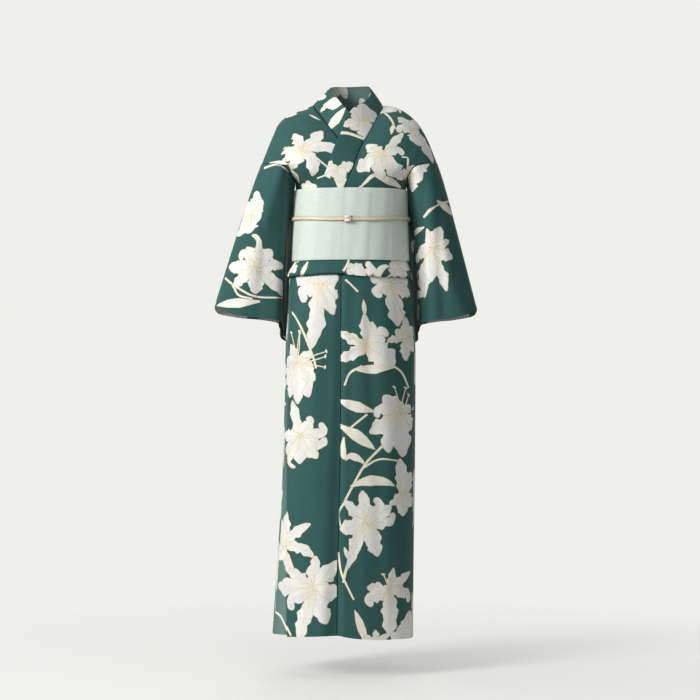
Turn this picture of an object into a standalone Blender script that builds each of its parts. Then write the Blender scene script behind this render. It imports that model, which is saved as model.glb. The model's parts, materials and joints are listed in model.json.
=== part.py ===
"""Women's cotton yukata, belted as worn: an empty garment of cloth walls, in metres, +Z up, front to -Y.
The origin lies at the middle of the shoulder line."""

import math

import bpy
from mathutils import Vector
from mathutils.bvhtree import BVHTree

for old in list(bpy.data.objects):
    bpy.data.objects.remove(old, do_unlink=True)

# ---- driving dimensions (m) ----
CLOTH = 0.0016  # wall of the robe
OBI_CLOTH = 0.0026  # wall of the belt
SEAM_GAP = 0.0005  # between the edges of two pieces that are sewn together
MID_X = 0.006  # centre back seam
SQUARE = 2.3  # roundness of the body sections: 2 is an ellipse
SIDE_SEAM = math.radians(14)  # how far in front of the widest point the side seams run
BODY_COLUMNS = 9
FOLD_TOP = -0.298  # where the tie under the belt holds the fold-over
FOLD_STEP = 0.0034  # from one layer of the fold-over to the next
UNDER_STEP = 0.0055  # from the wrap-over layer to the layer under it
OBI_TOP, OBI_BOTTOM = -0.1895, -0.3570
CORD_Z, CORD_HIGH, CORD_DEEP = -0.2620, 0.0100, 0.0040
OBIDOME = 0.0170

# The skirt and waist: z, left side x, right side x, front y, back y
SECTIONS = (
    (-0.180, -0.1150, 0.1325, -0.1010, 0.0900),
    (-0.300, -0.1175, 0.1350, -0.1040, 0.0900),
    (-0.357, -0.1195, 0.1370, -0.1060, 0.0930),
    (-0.375, -0.1300, 0.1430, -0.1110, 0.1010),
    (-0.396, -0.1390, 0.1490, -0.1160, 0.1080),
    (-0.430, -0.1395, 0.1560, -0.1190, 0.1130),
    (-0.480, -0.1420, 0.1595, -0.1220, 0.1200),
    (-0.568, -0.1455, 0.1630, -0.1240, 0.1250),
    (-0.687, -0.1480, 0.1620, -0.1240, 0.1250),
    (-0.925, -0.1560, 0.1600, -0.1215, 0.1200),
    (-1.164, -0.1720, 0.1570, -0.1200, 0.1150),
    (-1.250, -0.1775, 0.1570, -0.1200, 0.1150),
)
# Lower edges by x: the hem of each layer, and the fold-over
HEM_TOP = ((-0.180, -1.2405), (-0.137, -1.2390), (-0.100, -1.2360), (-0.025, -1.2310),
           (-0.004, -1.2360), (0.020, -1.2390), (0.075, -1.2440), (0.120, -1.2445), (0.160, -1.2490))
HEM_UNDER = ((-0.180, -1.2400), (-0.130, -1.2340), (0.160, -1.2340))
HEM_BACK = ((-0.180, -1.2400), (0.006, -1.2420), (0.160, -1.2490))
FOLD_EDGE = ((-0.150, -0.3966), (-0.110, -0.3943), (-0.060, -0.3915), (-0.023, -0.3900),
             (0.007, -0.3935), (0.055, -0.3970), (0.100, -0.3973), (0.160, -0.3990))
# The wrap: x of the seams and free edges in front, by z
OKUMI_SEAM = ((-0.190, 0.0060), (-0.357, -0.0110), (-0.398, -0.0151), (-0.800, -0.0172),
              (-1.000, -0.0215), (-1.100, -0.0252), (-1.250, -0.0260))
OKUMI_EDGE = ((-0.190, -0.0047), (-0.300, -0.0600), (-0.357, -0.1180), (-0.395, -0.1300),
              (-0.568, -0.1350), (-0.925, -0.1400), (-1.250, -0.1400))
UNDER_SEAM = ((-0.190, 0.0290), (-0.400, 0.0300), (-1.250, 0.0340))
UNDER_EDGE = ((-0.190, 0.0400), (-0.300, 0.0900), (-0.357, 0.1120), (-0.395, 0.1270),
              (-0.568, 0.1400), (-1.250, 0.1400))

# The yoke, right-hand side: distance from the shoulder line, then x y z of five points from the
# collar seam out to the armhole
FRONT_YOKE = (
    (0.00, (0.0857, 0.012, 0.0145), (0.1190, 0.008, 0.0096), (0.1600, 0.004, -0.0190),
     (0.1895, 0.002, -0.0620), (0.2140, 0.000, -0.1235)),
    (0.05, (0.0733, -0.033, -0.0155), (0.1120, -0.036, -0.0180), (0.1530, -0.036, -0.0420),
     (0.1820, -0.037, -0.0800), (0.2060, -0.038, -0.1260)),
    (0.10, (0.0525, -0.066, -0.0580), (0.0950, -0.073, -0.0620), (0.1330, -0.072, -0.0830),
     (0.1610, -0.069, -0.1080), (0.1830, -0.067, -0.1290)),
    (0.15, (0.0300, -0.087, -0.1000), (0.0730, -0.094, -0.1060), (0.1120, -0.092, -0.1180),
     (0.1390, -0.085, -0.1290), (0.1580, -0.077, -0.1360)),
    (0.19, (0.0165, -0.100, -0.1420), (0.0600, -0.101, -0.1450), (0.1010, -0.093, -0.1490),
     (0.1290, -0.076, -0.1520), (0.1440, -0.050, -0.1540)),
    (0.23, (0.0085, -0.106, -0.1760), (0.0540, -0.107, -0.1770), (0.0980, -0.096, -0.1770),
     (0.1275, -0.067, -0.1760), (0.1412, -0.018, -0.1720)),
)
BACK_YOKE = (
    (0.035, (0.0600, 0.050, 0.0170), (0.1050, 0.045, 0.0040), (0.1500, 0.038, -0.0300),
     (0.1820, 0.036, -0.0740), (0.2060, 0.034, -0.1260)),
    (0.07, (0.0065, 0.072, 0.0100), (0.0700, 0.076, -0.0150), (0.1280, 0.066, -0.0550),
     (0.1610, 0.060, -0.0980), (0.1880, 0.056, -0.1290)),
    (0.12, (0.0065, 0.088, -0.0450), (0.0550, 0.090, -0.0600), (0.1080, 0.084, -0.0900),
     (0.1390, 0.074, -0.1180), (0.1620, 0.068, -0.1370)),
    (0.17, (0.0065, 0.095, -0.1000), (0.0500, 0.095, -0.1100), (0.0980, 0.088, -0.1280),
     (0.1290, 0.073, -0.1430), (0.1480, 0.052, -0.1490)),
    (0.23, (0.0065, 0.097, -0.1600), (0.0480, 0.096, -0.1650), (0.0920, 0.085, -0.1700),
     (0.1240, 0.060, -0.1710), (0.1412, 0.012, -0.1720)),
)
# Left-hand collar seam on the yoke, which sits nearer the middle: x z by row of FRONT_YOKE
LEFT_NECK = ((-0.0812, 0.0165), (-0.0630, -0.0150), (-0.0330, -0.0560), (-0.0020, -0.1000),
             (0.0180, -0.1420), (0.0260, -0.1760))
LEFT_SHOULDER_OUT = 0.006  # the left shoulder point lies this much further out

# Inner edge of the collar, for each row of the yoke from the nape down: x y z
COLLAR_TOP = (
    (0.0060, 0.060, 0.0672), (0.0250, 0.056, 0.0675), (0.0410, 0.045, 0.0668), (0.0490, 0.033, 0.0650),
    (0.0545, 0.018, 0.0600), (0.0560, -0.004, 0.0420), (0.0400, -0.038, 0.0190),
    (0.0120, -0.070, -0.0010), (-0.0030, -0.082, -0.0270), (-0.0110, -0.085, -0.0510),
    (-0.0217, -0.090, -0.0737), (-0.0300, -0.095, -0.0930), (-0.0380, -0.098, -0.1140),
    (-0.0440, -0.100, -0.1330), (-0.0500, -0.102, -0.1500),
)
COLLAR_UNDER = (
    (0.0060, 0.060, 0.0672), (-0.0130, 0.055, 0.0670), (-0.0310, 0.044, 0.0655),
    (-0.0400, 0.031, 0.0620), (-0.0440, 0.016, 0.0550), (-0.0290, -0.012, 0.0370),
    (-0.0147, -0.040, 0.0171), (-0.0010, -0.070, -0.0020), (0.0150, -0.073, -0.0240),
    (0.0310, -0.074, -0.0470), (0.0470, -0.074, -0.0700), (0.0590, -0.078, -0.0940),
    (0.0700, -0.080, -0.1180), (0.0760, -0.084, -0.1380), (0.0820, -0.086, -0.1600),
)
COLLAR_END = (  # under the belt: seam x z, inner edge x z
    (-0.0135, -0.2050, -0.0620, -0.1790), (-0.0282, -0.2350, -0.0760, -0.2070),
)
COLLAR_WALL = 0.0020
COLLAR_LIFT = 0.0032  # from the middle of the panel below to the middle of the collar
COLLAR_SEAM = 0.0027  # from the edge of the panel to the collar's own edge, along the collar
GUSSET_TIP = ((-0.1760, 0.0078, 0.0004), (-0.1450, 0.0152, 0.0134))  # z, seam x, edge x
TOP_SEAM = ((-0.1180, 0.0236), (-0.1450, 0.0132), (-0.1760, 0.0000))  # the collar's seam beside it: z, x

# The belt: a spiral of one turn and a lap, its tail folded flat behind, and the cord over both
OBI_LAP = math.radians(25)  # each side of the centre back
OBI_OUT = 0.0112
OBI_LAP_STEP = 0.0034
TAIL_HALF = 0.052
TAIL_TOP, TAIL_BOTTOM, TAIL_INNER = -0.1760, -0.3720, -0.3500
BELT_MID_X = 0.009
CORD_OUT = 0.0150
CORD_SIDE_RISE = 0.0050
ORNAMENT_X = 0.0015

# Sleeves: along the cuff from the upper fold, the place between the inner (0) and outer (1) limits,
# y, and z below the upper fold; the front layer, then the back layer
CUFF_FRONT = (
    (1.000, 0.005, 0.000), (0.940, -0.030, -0.008), (0.700, -0.050, -0.020), (0.340, -0.056, -0.026),
    (0.080, -0.042, -0.032), (0.000, -0.006, -0.042), (0.000, 0.045, -0.058), (0.030, 0.078, -0.074),
    (-0.110, 0.108, -0.088), (-0.070, 0.150, -0.102),
)
CUFF_BACK = (
    (1.000, 0.005, 0.000), (0.950, 0.034, -0.015), (0.700, 0.048, -0.025), (0.360, 0.045, -0.030),
    (0.110, 0.024, -0.036), (0.045, 0.004, -0.043), (0.030, 0.042, -0.058), (0.062, 0.082, -0.074),
    (-0.075, 0.114, -0.088), (-0.070, 0.150, -0.102),
)
# The free edge beside the body, below the armhole: x y z on the right-hand side
OPEN_FRONT = ((0.1525, 0.030, -0.196), (0.1450, 0.070, -0.232), (0.1400, 0.108, -0.268),
              (0.1450, 0.140, -0.292))
OPEN_BACK = ((0.1590, 0.038, -0.196), (0.1590, 0.078, -0.232), (0.1550, 0.114, -0.268),
             (0.1450, 0.140, -0.292))
SLEEVES = (  # name, side, inner limit, outer limit, z of the upper fold at the cuff
    ("sleeve_left", 1, 0.1680, 0.3100, -0.4700),
    ("sleeve_right", -1, 0.1560, 0.3160, -0.4650),
)
SLEEVE_ROWS = 11


# ---- small tools ----
def table(rows, at, column=1):
    """Straight interpolation in a table whose first column runs either way."""
    rows = sorted(rows)
    if at <= rows[0][0]:
        return rows[0][column]
    for low, high in zip(rows, rows[1:]):
        if at <= high[0]:
            part = (at - low[0]) / (high[0] - low[0])
            return low[column] + (high[column] - low[column]) * part
    return rows[-1][column]


def step(low, high, value):
    """0 below low, 1 above high, smooth between."""
    part = min(1.0, max(0.0, (value - low) / (high - low)))
    return part * part * (3 - 2 * part)


def between(before, start, end, after, part):
    """A point on the smooth curve from start to end."""
    cube, square = part ** 3, part ** 2
    return 0.5 * (
        2 * start
        + (end - before) * part
        + (2 * before - 5 * start + 4 * end - after) * square
        + (3 * start - before - 3 * end + after) * cube
    )


def smooth(points, parts, closed=False):
    """More points on a smooth curve through these, with this many steps from one to the next."""
    points = [Vector(p) for p in points]
    count = len(points)
    made = []
    for i in range(count if closed else count - 1):
        if closed:
            near = [points[(i + k) % count] for k in (-1, 0, 1, 2)]
        else:
            near = [points[min(count - 1, max(0, i + k))] for k in (-1, 0, 1, 2)]
            if i == 0:
                near[0] = 2 * near[1] - near[2]
            if i == count - 2:
                near[3] = 2 * near[2] - near[1]
        made += [between(*near, k / parts) for k in range(parts)]
    return made if closed else made + [points[-1]]


def even(points, count, closed=False):
    """This many points at equal steps along a curve."""
    line = smooth(points, 12, closed)
    if closed:
        line.append(line[0])
    lengths = [0.0]
    for a, b in zip(line, line[1:]):
        lengths.append(lengths[-1] + (b - a).length)
    steps = count if closed else count - 1
    made, at = [], 0
    for k in range(count):
        want = lengths[-1] * k / steps
        while at < len(line) - 2 and lengths[at + 1] < want:
            at += 1
        part = (want - lengths[at]) / max(1e-9, lengths[at + 1] - lengths[at])
        made.append(line[at].lerp(line[at + 1], min(1.0, part)))
    return made


# ---- the body form that the layers follow ----
def section(z, angle, out=0.0):
    """A point of the form at this height. Angle 0 is the right-hand side, -90 degrees the front."""
    left, right = table(SECTIONS, z, 1), table(SECTIONS, z, 2)
    front, back = -table(SECTIONS, z, 3), table(SECTIONS, z, 4)
    wide = (right - left) / 2
    deep = front if math.sin(angle) < 0 else back
    c, s = math.cos(angle), math.sin(angle)
    x = math.copysign(abs(c) ** (2 / SQUARE), c)
    y = math.copysign(abs(s) ** (2 / SQUARE), s)
    nx = math.copysign(abs(x) ** (SQUARE - 1), c) / wide
    ny = math.copysign(abs(y) ** (SQUARE - 1), s) / deep
    long = math.hypot(nx, ny)
    centre = (left + right) / 2
    return Vector((centre + wide * x + out * nx / long, deep * y + out * ny / long, z))


def front_angle(x, z):
    """The angle in front at which the form has this x."""
    left, right = table(SECTIONS, z, 1), table(SECTIONS, z, 2)
    share = (x - (left + right) / 2) / ((right - left) / 2)
    share = min(0.999, max(-0.999, share))
    return -math.acos(math.copysign(abs(share) ** (SQUARE / 2), share))


def drape(point, front):
    """The long soft folds of the skirt: both layers in front follow them together."""
    x, z = point.x, point.z
    down = step(-0.45, -1.20, z) if front else 0.0
    valley = math.exp(-(((x + 0.048) / 0.034) ** 2))
    ridge = math.exp(-(((x + 0.004) / 0.026) ** 2))
    far = math.exp(-(((x - 0.085) / 0.030) ** 2))
    point.y += down * (0.008 * valley - 0.002 * ridge + 0.003 * far)
    if not front:
        wave = math.sin((x - MID_X) * 48 + 1.5)
        point.y += 0.005 * wave * step(-0.50, -1.15, z) * step(0.02, 0.07, point.y)
    return point


# The path of a front or back panel from the hem up to the belt's upper edge: z, how far out of the
# form, and how far the edge tables bend the row (of the hem, of the fold-over)
SKIRT_ROWS = (-1.250, -1.170, -1.080, -0.990, -0.900, -0.810, -0.720, -0.640, -0.568, -0.500,
              -0.450, -0.410, -0.390, -0.365, -0.335)
FOLD_ROWS = (  # z, layer out, share of the fold edge's bend
    (FOLD_TOP, 0, 0.0), (FOLD_TOP, 1, 0.0), (-0.335, 1, 0.0), (-0.365, 1, 0.2), (-0.3935, 1, 1.0),
    (-0.3935, 2, 1.0), (-0.380, 2, 0.7), (-0.368, 2, 0.2), (-0.357, 2, 0.0), (-0.325, 2, 0.0),
    (-0.285, 2, 0.0), (-0.245, 2, 0.0), (-0.205, 2, 0.0),
)
FOLD_MIDDLE = -0.3935
lower_rows = SKIRT_ROWS + FOLD_ROWS


def under_shift(z, angle, layer):
    """How far the right-hand panel moves in where it lies under the wrap."""
    lap = step(math.radians(-165), math.radians(-155), angle) * step(0.2, -0.05, angle)
    if z > FOLD_TOP + 0.012:
        deep = UNDER_STEP + 0.0060 * (1 - step(-0.285, -0.245, z))
    elif z > -0.41:
        deep = UNDER_STEP + 0.0060
    else:
        deep = UNDER_STEP + 0.0060 * step(-0.50, -0.41, z)
    return -deep * lap


def lower_row(z, layer, hem, fold_share, ends, count, under):
    """One row of a panel on the form, between two limits given as angles."""
    start, end = ends
    row = []
    for k in range(count):
        angle = start + (end - start) * k / (count - 1)
        at = z
        x = section(z, angle).x
        if hem is not None:
            at += (table(hem, x) + 1.250) * (1 - step(-1.25, -0.95, z))
        at += (table(FOLD_EDGE, x) - FOLD_MIDDLE) * fold_share
        out = layer * FOLD_STEP
        if under:
            out += under_shift(at, angle, layer)
        point = section(at, angle, out)
        if layer == 0:
            point = drape(point, math.sin(angle) < 0)
        row.append(point)
    return row


def lower_panel(hem, ends_at, count, under):
    """Rows from the hem to the upper edge of the belt. ends_at gives the limits for a height."""
    rows = []
    for z in SKIRT_ROWS:
        rows.append(lower_row(z, 0, hem, 0.0, ends_at(z), count, under))
    for z, layer, share in FOLD_ROWS:
        rows.append(lower_row(z, layer, None, share, ends_at(z), count, under))
    return rows


def belt_edge_row(row, side, front, under):
    """The row just above the belt, from the inner edge to the end of the armhole."""
    ends = [Vector(row[1]), Vector(row[5])]
    if front:
        x = ends[0].x if side > 0 else LEFT_NECK[-1][0]
        start = front_angle(x, ends[0].z)
        end = -math.radians(7.3) if side > 0 else -math.pi + math.radians(7.3)
    else:
        start = math.pi / 2
        end = math.radians(5.2) if side > 0 else math.pi - math.radians(5.2)
    made = []
    for k in range(BODY_COLUMNS):
        part = k / (BODY_COLUMNS - 1)
        z = ends[0].z + (ends[1].z - ends[0].z) * part
        angle = start + (end - start) * part
        out = 2 * FOLD_STEP + 0.0004
        if under and front:
            out += under_shift(z, angle, 2)
        made.append(section(z, angle, out))
    return made


def yoke_rows(rows, side, front, under):
    """Rows over the chest or the back, from the belt's upper edge to the shoulder line."""
    made = []
    for at in range(len(rows) - 1, -1, -1):
        points = []
        if at == len(rows) - 1:
            made.append(belt_edge_row(rows[at], side, front, under))
            continue
        for k, (x, y, z) in enumerate(rows[at][1:]):
            if side < 0:
                x = 2 * MID_X - x
                if k == 2 and z > -0.06:
                    x -= LEFT_SHOULDER_OUT
                if front and k == 0:
                    x, z = LEFT_NECK[at]
                if front and k == 1:
                    x = LEFT_NECK[at][0] - (0.0190 if at == 0 else 0.045)
                    z -= 0.0025 if at == 0 else 0.0
            if under and front and k < 2 and at > 1:
                y += UNDER_STEP if k == 0 else UNDER_STEP * 0.85
            if not front and k == 0 and rows[at][0] > 0.06:
                x = MID_X + side * SEAM_GAP
            points.append(Vector((x, y, z)))
        made.append(even(points, BODY_COLUMNS))
    return made


def denser(rows, parts=2):
    """Rows added between these, on smooth curves through them."""
    columns = [smooth([row[k] for row in rows], parts) for k in range(len(rows[0]))]
    return [list(row) for row in zip(*columns)]


# ---- solids ----
def material(name, colour, rough, metal=0.0):
    made = bpy.data.materials.new(name)
    made.use_nodes = True
    shader = made.node_tree.nodes["Principled BSDF"]
    shader.inputs["Base Color"].default_value = (*colour, 1)
    shader.inputs["Roughness"].default_value = rough
    shader.inputs["Metallic"].default_value = metal
    made.diffuse_color = (*colour, 1)
    return made


COTTON = material("printed_cotton", (0.045, 0.130, 0.115), 0.85)
COLLAR_COTTON = material("collar_cotton", (0.050, 0.140, 0.125), 0.85)
OBI_WEAVE = material("mint_weave", (0.600, 0.720, 0.640), 0.7)
BRAID = material("gold_braid", (0.620, 0.500, 0.260), 0.55)
PEARL = material("pearl", (0.820, 0.800, 0.760), 0.25)


def new_object(name, points, faces, paint):
    mesh = bpy.data.meshes.new(name)
    mesh.from_pydata([tuple(p) for p in points], [], faces)
    mesh.materials.append(paint)
    mesh.update()
    made = bpy.data.objects.new(name, mesh)
    bpy.context.scene.collection.objects.link(made)
    return made


def sheet(name, rows, paint, wall, closed=False, flip=False, even=True):
    """A cloth wall over a grid of rows. With closed, the end of each row meets its start."""
    wide = len(rows[0])
    points = [p for row in rows for p in row]
    faces = []
    for r in range(len(rows) - 1):
        for c in range(wide if closed else wide - 1):
            d = (c + 1) % wide
            face = (r * wide + c, r * wide + d, (r + 1) * wide + d, (r + 1) * wide + c)
            faces.append(face[::-1] if flip else face)
    made = new_object(name, points, faces, paint)
    solid = made.modifiers.new("wall", "SOLIDIFY")
    solid.thickness = wall
    solid.offset = 0.0
    solid.use_even_offset = even
    solid.use_rim = True
    return made


def tree_of(*grids):
    """What a ray can be cast on: the middle surfaces of these grids."""
    points, faces = [], []
    for rows in grids:
        base, wide = len(points), len(rows[0])
        points += [p for row in rows for p in row]
        for r in range(len(rows) - 1):
            for c in range(wide - 1):
                a = base + r * wide + c
                faces.append((a, a + 1, a + wide + 1, a + wide))
    return BVHTree.FromPolygons(points, faces)


# ---- body panels: front hem, up over the shoulder, to the back hem ----
def seam_angle(seam, z, shift=0.0):
    limit = math.radians(154.5)
    return max(-limit, front_angle(table(seam, z) + shift, z))


def left_front(z):
    return seam_angle(OKUMI_SEAM, z, SEAM_GAP / 2), -SIDE_SEAM - 0.002


def left_back(z):
    return math.pi / 2 - 0.0015, -SIDE_SEAM + 0.002


def right_front(z):
    return seam_angle(UNDER_SEAM, z, -SEAM_GAP / 2), -math.pi + SIDE_SEAM + 0.002


def right_back(z):
    return math.pi / 2 + 0.0015, math.pi + SIDE_SEAM - 0.002


def body_panel(side):
    under = side < 0
    front_ends, back_ends = (right_front, right_back) if under else (left_front, left_back)
    front = lower_panel(HEM_UNDER if under else HEM_TOP, front_ends, BODY_COLUMNS, under)
    back = lower_panel(HEM_BACK, back_ends, BODY_COLUMNS, False)
    chest = yoke_rows(FRONT_YOKE, side, True, under)
    shoulders = yoke_rows(BACK_YOKE, side, False, under)[::-1]
    yoke = denser([front[-1]] + chest + shoulders + [back[-1]])
    for row in yoke:
        if row[0].y > 0:
            row[0].x = MID_X + side * max(SEAM_GAP / 2, side * (row[0].x - MID_X))
    armhole = [row[-1] for row in yoke[2:-2]]
    return front[:-1] + yoke + back[:-1][::-1], armhole


body_left, armhole_left = body_panel(1)
body_right, armhole_right = body_panel(-1)
sheet("body_left", body_left, COTTON, CLOTH, flip=True)
sheet("body_right", body_right, COTTON, CLOTH)


# ---- overlap panels ----
def okumi(seam, edge, hem, side):
    """The long gusset between a front panel and the collar."""
    def ends(z):
        return (
            seam_angle(seam, z, -side * SEAM_GAP / 2),
            seam_angle(edge, z),
        )

    return lower_panel(hem, ends, 5, side < 0)


okumi_left = okumi(OKUMI_SEAM, OKUMI_EDGE, HEM_TOP, 1)
okumi_right = okumi(UNDER_SEAM, UNDER_EDGE, HEM_UNDER, -1)
beside = [row[0] for row in body_left if row[0].y < 0]
for z, seam_x, edge_x in GUSSET_TIP:
    near = min(beside, key=lambda p: abs(p.z - z) + abs(p.x - seam_x))
    okumi_left.append([Vector((seam_x + (edge_x - seam_x) * k / 4, near.y, z)) for k in range(5)])
sheet("okumi_left", okumi_left, COTTON, CLOTH)
sheet("okumi_right", okumi_right[:-2], COTTON, CLOTH, flip=True)

# ---- collar ----
def hit_y(tree, x, z):
    hit = tree.ray_cast(Vector((x, -1.0, z)), Vector((0, 1, 0)))[0]
    return hit.y if hit and hit.y < 0 else None


def band_row(seam, inner, swell, tree, below, lift=COLLAR_LIFT):
    """Across the collar from the seam: a shallow curve, kept clear of the panels under or over it."""
    across = inner - seam
    start = seam + across.normalized() * COLLAR_SEAM
    out = Vector((seam.x - MID_X, min(seam.y, seam.y * 3), 0)).normalized()
    row = []
    for part in (0.0, 1 / 3, 2 / 3, 1.0):
        point = start.lerp(inner, part) + out * (swell * 4 * part * (1 - part))
        on = hit_y(tree, point.x, point.z)
        if on is not None and part > 0:
            if below:
                point.y = max(point.y, on + lift)
            else:
                point.y = min(point.y, on - lift)
        row.append(point)
    return row


def yoke_edge(panel):
    """The inner edge of a panel from the nape down to the belt."""
    rows = panel[len(lower_rows):-len(lower_rows)]
    edge = [row[0] for row in rows][::-1]
    return edge[next(k for k, p in enumerate(edge) if abs(p.z - 0.010) < 0.004):]


over_under = tree_of(body_left, okumi_left)
collar_under = [
    band_row(seam, Vector(inner), 0.0, over_under, True)
    for seam, inner in zip(yoke_edge(body_right), COLLAR_UNDER)
]
below_top = tree_of(body_right, collar_under)
top_edge = yoke_edge(body_left)
for point in top_edge:
    if point.z < TOP_SEAM[0][0]:
        point.x = table(TOP_SEAM, point.z)
top_pairs = list(zip(top_edge, COLLAR_TOP))
for x, z, inner_x, inner_z in COLLAR_END:
    seam = Vector((x, section(z, front_angle(x, z), 2 * FOLD_STEP).y, z))
    top_pairs.append((seam, Vector((inner_x, seam.y / 2, inner_z))))
collar_top = []
for at, (seam, inner) in enumerate(top_pairs):
    lift = COLLAR_LIFT + 0.0014 * step(len(COLLAR_TOP) - 3, len(COLLAR_TOP), at)
    collar_top.append(band_row(seam, Vector(inner), 0.0010, below_top, False, lift))
sheet("collar", collar_under[::-1] + collar_top[1:], COLLAR_COTTON, COLLAR_WALL)

# ---- belt ----
def belt_point(z, angle, out):
    return section(z, angle, OBI_OUT + out)


obi_rows = []
OBI_STEPS = 76
for k in range(OBI_STEPS + 1):
    turn = math.pi / 2 + OBI_LAP - (2 * math.pi + 2 * OBI_LAP) * k / OBI_STEPS
    out = OBI_LAP_STEP * (1 - step(math.radians(-240), math.radians(-195), turn))
    obi_rows.append([belt_point(z, turn, out) for z in (OBI_TOP, -0.246, -0.302, OBI_BOTTOM)])
sheet("obi", obi_rows, OBI_WEAVE, OBI_CLOTH, flip=True)

tail_path = ((TAIL_INNER, 0), (-0.300, 0), (-0.230, 0), (TAIL_TOP, 0), (TAIL_TOP, 1),
             (-0.230, 1), (-0.300, 1), (TAIL_BOTTOM, 1))
tail_rows = []
for z, layer in tail_path:
    row = []
    for k in range(7):
        x = BELT_MID_X + TAIL_HALF * (k / 3 - 1)
        held = min(max(z, OBI_BOTTOM), OBI_TOP)
        angle = -front_angle(x, held)
        point = belt_point(held, angle, OBI_LAP_STEP + 0.0034 + layer * 0.0042)
        point.z = z
        row.append(point)
    tail_rows.append(row)
sheet("obi_tail", tail_rows, OBI_WEAVE, OBI_CLOTH, flip=True)


def cord_out(angle):
    """How far out of the form the middle of the cord runs: over the tail, and over the ornament's back."""
    x = section(CORD_Z, angle).x
    if math.sin(angle) > 0:
        over_tail = 1 - step(TAIL_HALF + 0.004, TAIL_HALF + 0.040, abs(x - BELT_MID_X))
        return CORD_OUT + 0.0038 * step(0.1, 0.6, math.sin(angle)) + 0.0092 * over_tail
    return CORD_OUT + 0.0024 * math.exp(-(((x - ORNAMENT_X) / 0.019) ** 4))


def cord_path(count):
    made = []
    for k in range(count):
        angle = 2 * math.pi * k / count
        point = section(CORD_Z, angle, cord_out(angle))
        point.z += CORD_SIDE_RISE * step(0.25, 1.0, abs(math.cos(angle)))
        made.append(point)
    return made


def loop_curve(name, points):
    data = bpy.data.curves.new(name, "CURVE")
    data.dimensions = "3D"
    data.twist_mode = "Z_UP"
    line = data.splines.new("POLY")
    line.points.add(len(points) - 1)
    for at, point in zip(line.points, points):
        at.co = (*point, 1)
    line.use_cyclic_u = True
    made = bpy.data.objects.new(name, data)
    bpy.context.scene.collection.objects.link(made)
    return made


profile = []
for k in range(12):
    turn = -2 * math.pi * k / 12
    flat = math.copysign(abs(math.cos(turn)) ** 0.7, math.cos(turn)) * CORD_DEEP / 2
    tall = math.copysign(abs(math.sin(turn)) ** 0.7, math.sin(turn)) * CORD_HIGH / 2
    profile.append(Vector((flat, tall, 0)))
cord_profile = loop_curve("cord_profile", profile)
cord_profile.data.dimensions = "2D"
cord_profile.hide_render = True
cord = loop_curve("obijime", even(cord_path(64), 84, closed=True))
cord.data.bevel_mode = "OBJECT"
cord.data.bevel_object = cord_profile
cord.data.materials.append(BRAID)


# ---- ornament on the cord ----
def block(name, centre, size, paint=None):
    wide, deep, tall = (side / 2 for side in size)
    corners = [(x, y, z) for x in (-wide, wide) for y in (-deep, deep) for z in (-tall, tall)]
    faces = [(0, 1, 3, 2), (4, 6, 7, 5), (0, 4, 5, 1), (2, 3, 7, 6), (0, 2, 6, 4), (1, 5, 7, 3)]
    made = new_object(name, corners, faces, paint or PEARL)
    made.location = centre
    return made


front = front_angle(ORNAMENT_X, CORD_Z)
cord_front = section(CORD_Z, front, cord_out(front))
slot_deep = CORD_DEEP + 0.0014
wall_back, wall_front = 0.0012, 0.0042
dome_deep = wall_back + slot_deep + wall_front
dome_y = cord_front.y - (wall_front - wall_back) / 2
obidome = block("obidome", (ORNAMENT_X, dome_y, CORD_Z), (OBIDOME, dome_deep, OBIDOME))
slot = block("slot", (ORNAMENT_X, cord_front.y, CORD_Z), (0.04, slot_deep, CORD_HIGH + 0.0012))
slot.hide_render = True
cut = obidome.modifiers.new("slot", "BOOLEAN")
cut.operation = "DIFFERENCE"
cut.solver = "EXACT"
cut.object = slot
rounding = obidome.modifiers.new("rounding", "BEVEL")
rounding.width = 0.0030
rounding.segments = 3
rounding.limit_method = "ANGLE"
rounding.angle_limit = math.radians(40)
rounding.use_clamp_overlap = True

# ---- sleeves ----
def shares(points):
    """How far along the line each point is, from 0 to 1."""
    lengths = [0.0]
    for a, b in zip(points, points[1:]):
        lengths.append(lengths[-1] + (b - a).length)
    return [at / lengths[-1] for at in lengths]


def at_shares(points, wanted):
    """Points on the smooth curve through these, at these shares of its length."""
    line = even(points, 200)
    return [line[round(199 * share)] for share in wanted]


def sleeve_rows(side, armhole, inner, outer, top_z):
    middle = len(armhole) // 2

    def half(edge, free, cuff, parts):
        free = [Vector((MID_X + side * (x - MID_X), y, z)) for x, y, z in free]
        top = edge + smooth([edge[-1]] + free, parts)[1:]
        low = []
        for place, y, down in cuff:
            low.append(Vector((side * (inner + (outer - inner) * place), y, top_z + down)))
        return top, at_shares(low, shares(top))

    front = half(armhole[middle::-1], OPEN_FRONT, CUFF_FRONT, 3)
    back = half(armhole[middle:], OPEN_BACK, CUFF_BACK, 3)
    top = front[0] + back[0][-2:0:-1]
    low = front[1] + back[1][-2:0:-1]
    from_fold = shares(front[0]) + shares(back[0])[-2:0:-1]
    drop = Vector((side * 0.0022, 0, -0.0018))
    rows = []
    for r in range(SLEEVE_ROWS):
        part = r / (SLEEVE_ROWS - 1)
        swell = Vector((side * 0.007 * math.sin(math.pi * part ** 0.6), 0, 0))
        rows.append([
            (a + drop * min(1.0, 0.3 + share * 3)).lerp(b, part) + swell * min(1.0, 0.40 + share * 2)
            for a, b, share in zip(top, low, from_fold)
        ])
    return rows


for name, side, inner, outer, top_z in SLEEVES:
    armhole = armhole_left if side > 0 else armhole_right
    rows = sleeve_rows(side, armhole, inner, outer, top_z)
    sheet(name, rows, COTTON, CLOTH, closed=True, flip=side < 0, even=False)
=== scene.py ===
"""The dressed model of the belted yukata: its cloth, print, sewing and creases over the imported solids.

Left and right in the names of pieces are the wearer's: body_left is at +x, at the right of the picture.
The construction of the grids is that of part.py, repeated here so that this script stands alone.
"""

import json
import math

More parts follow.
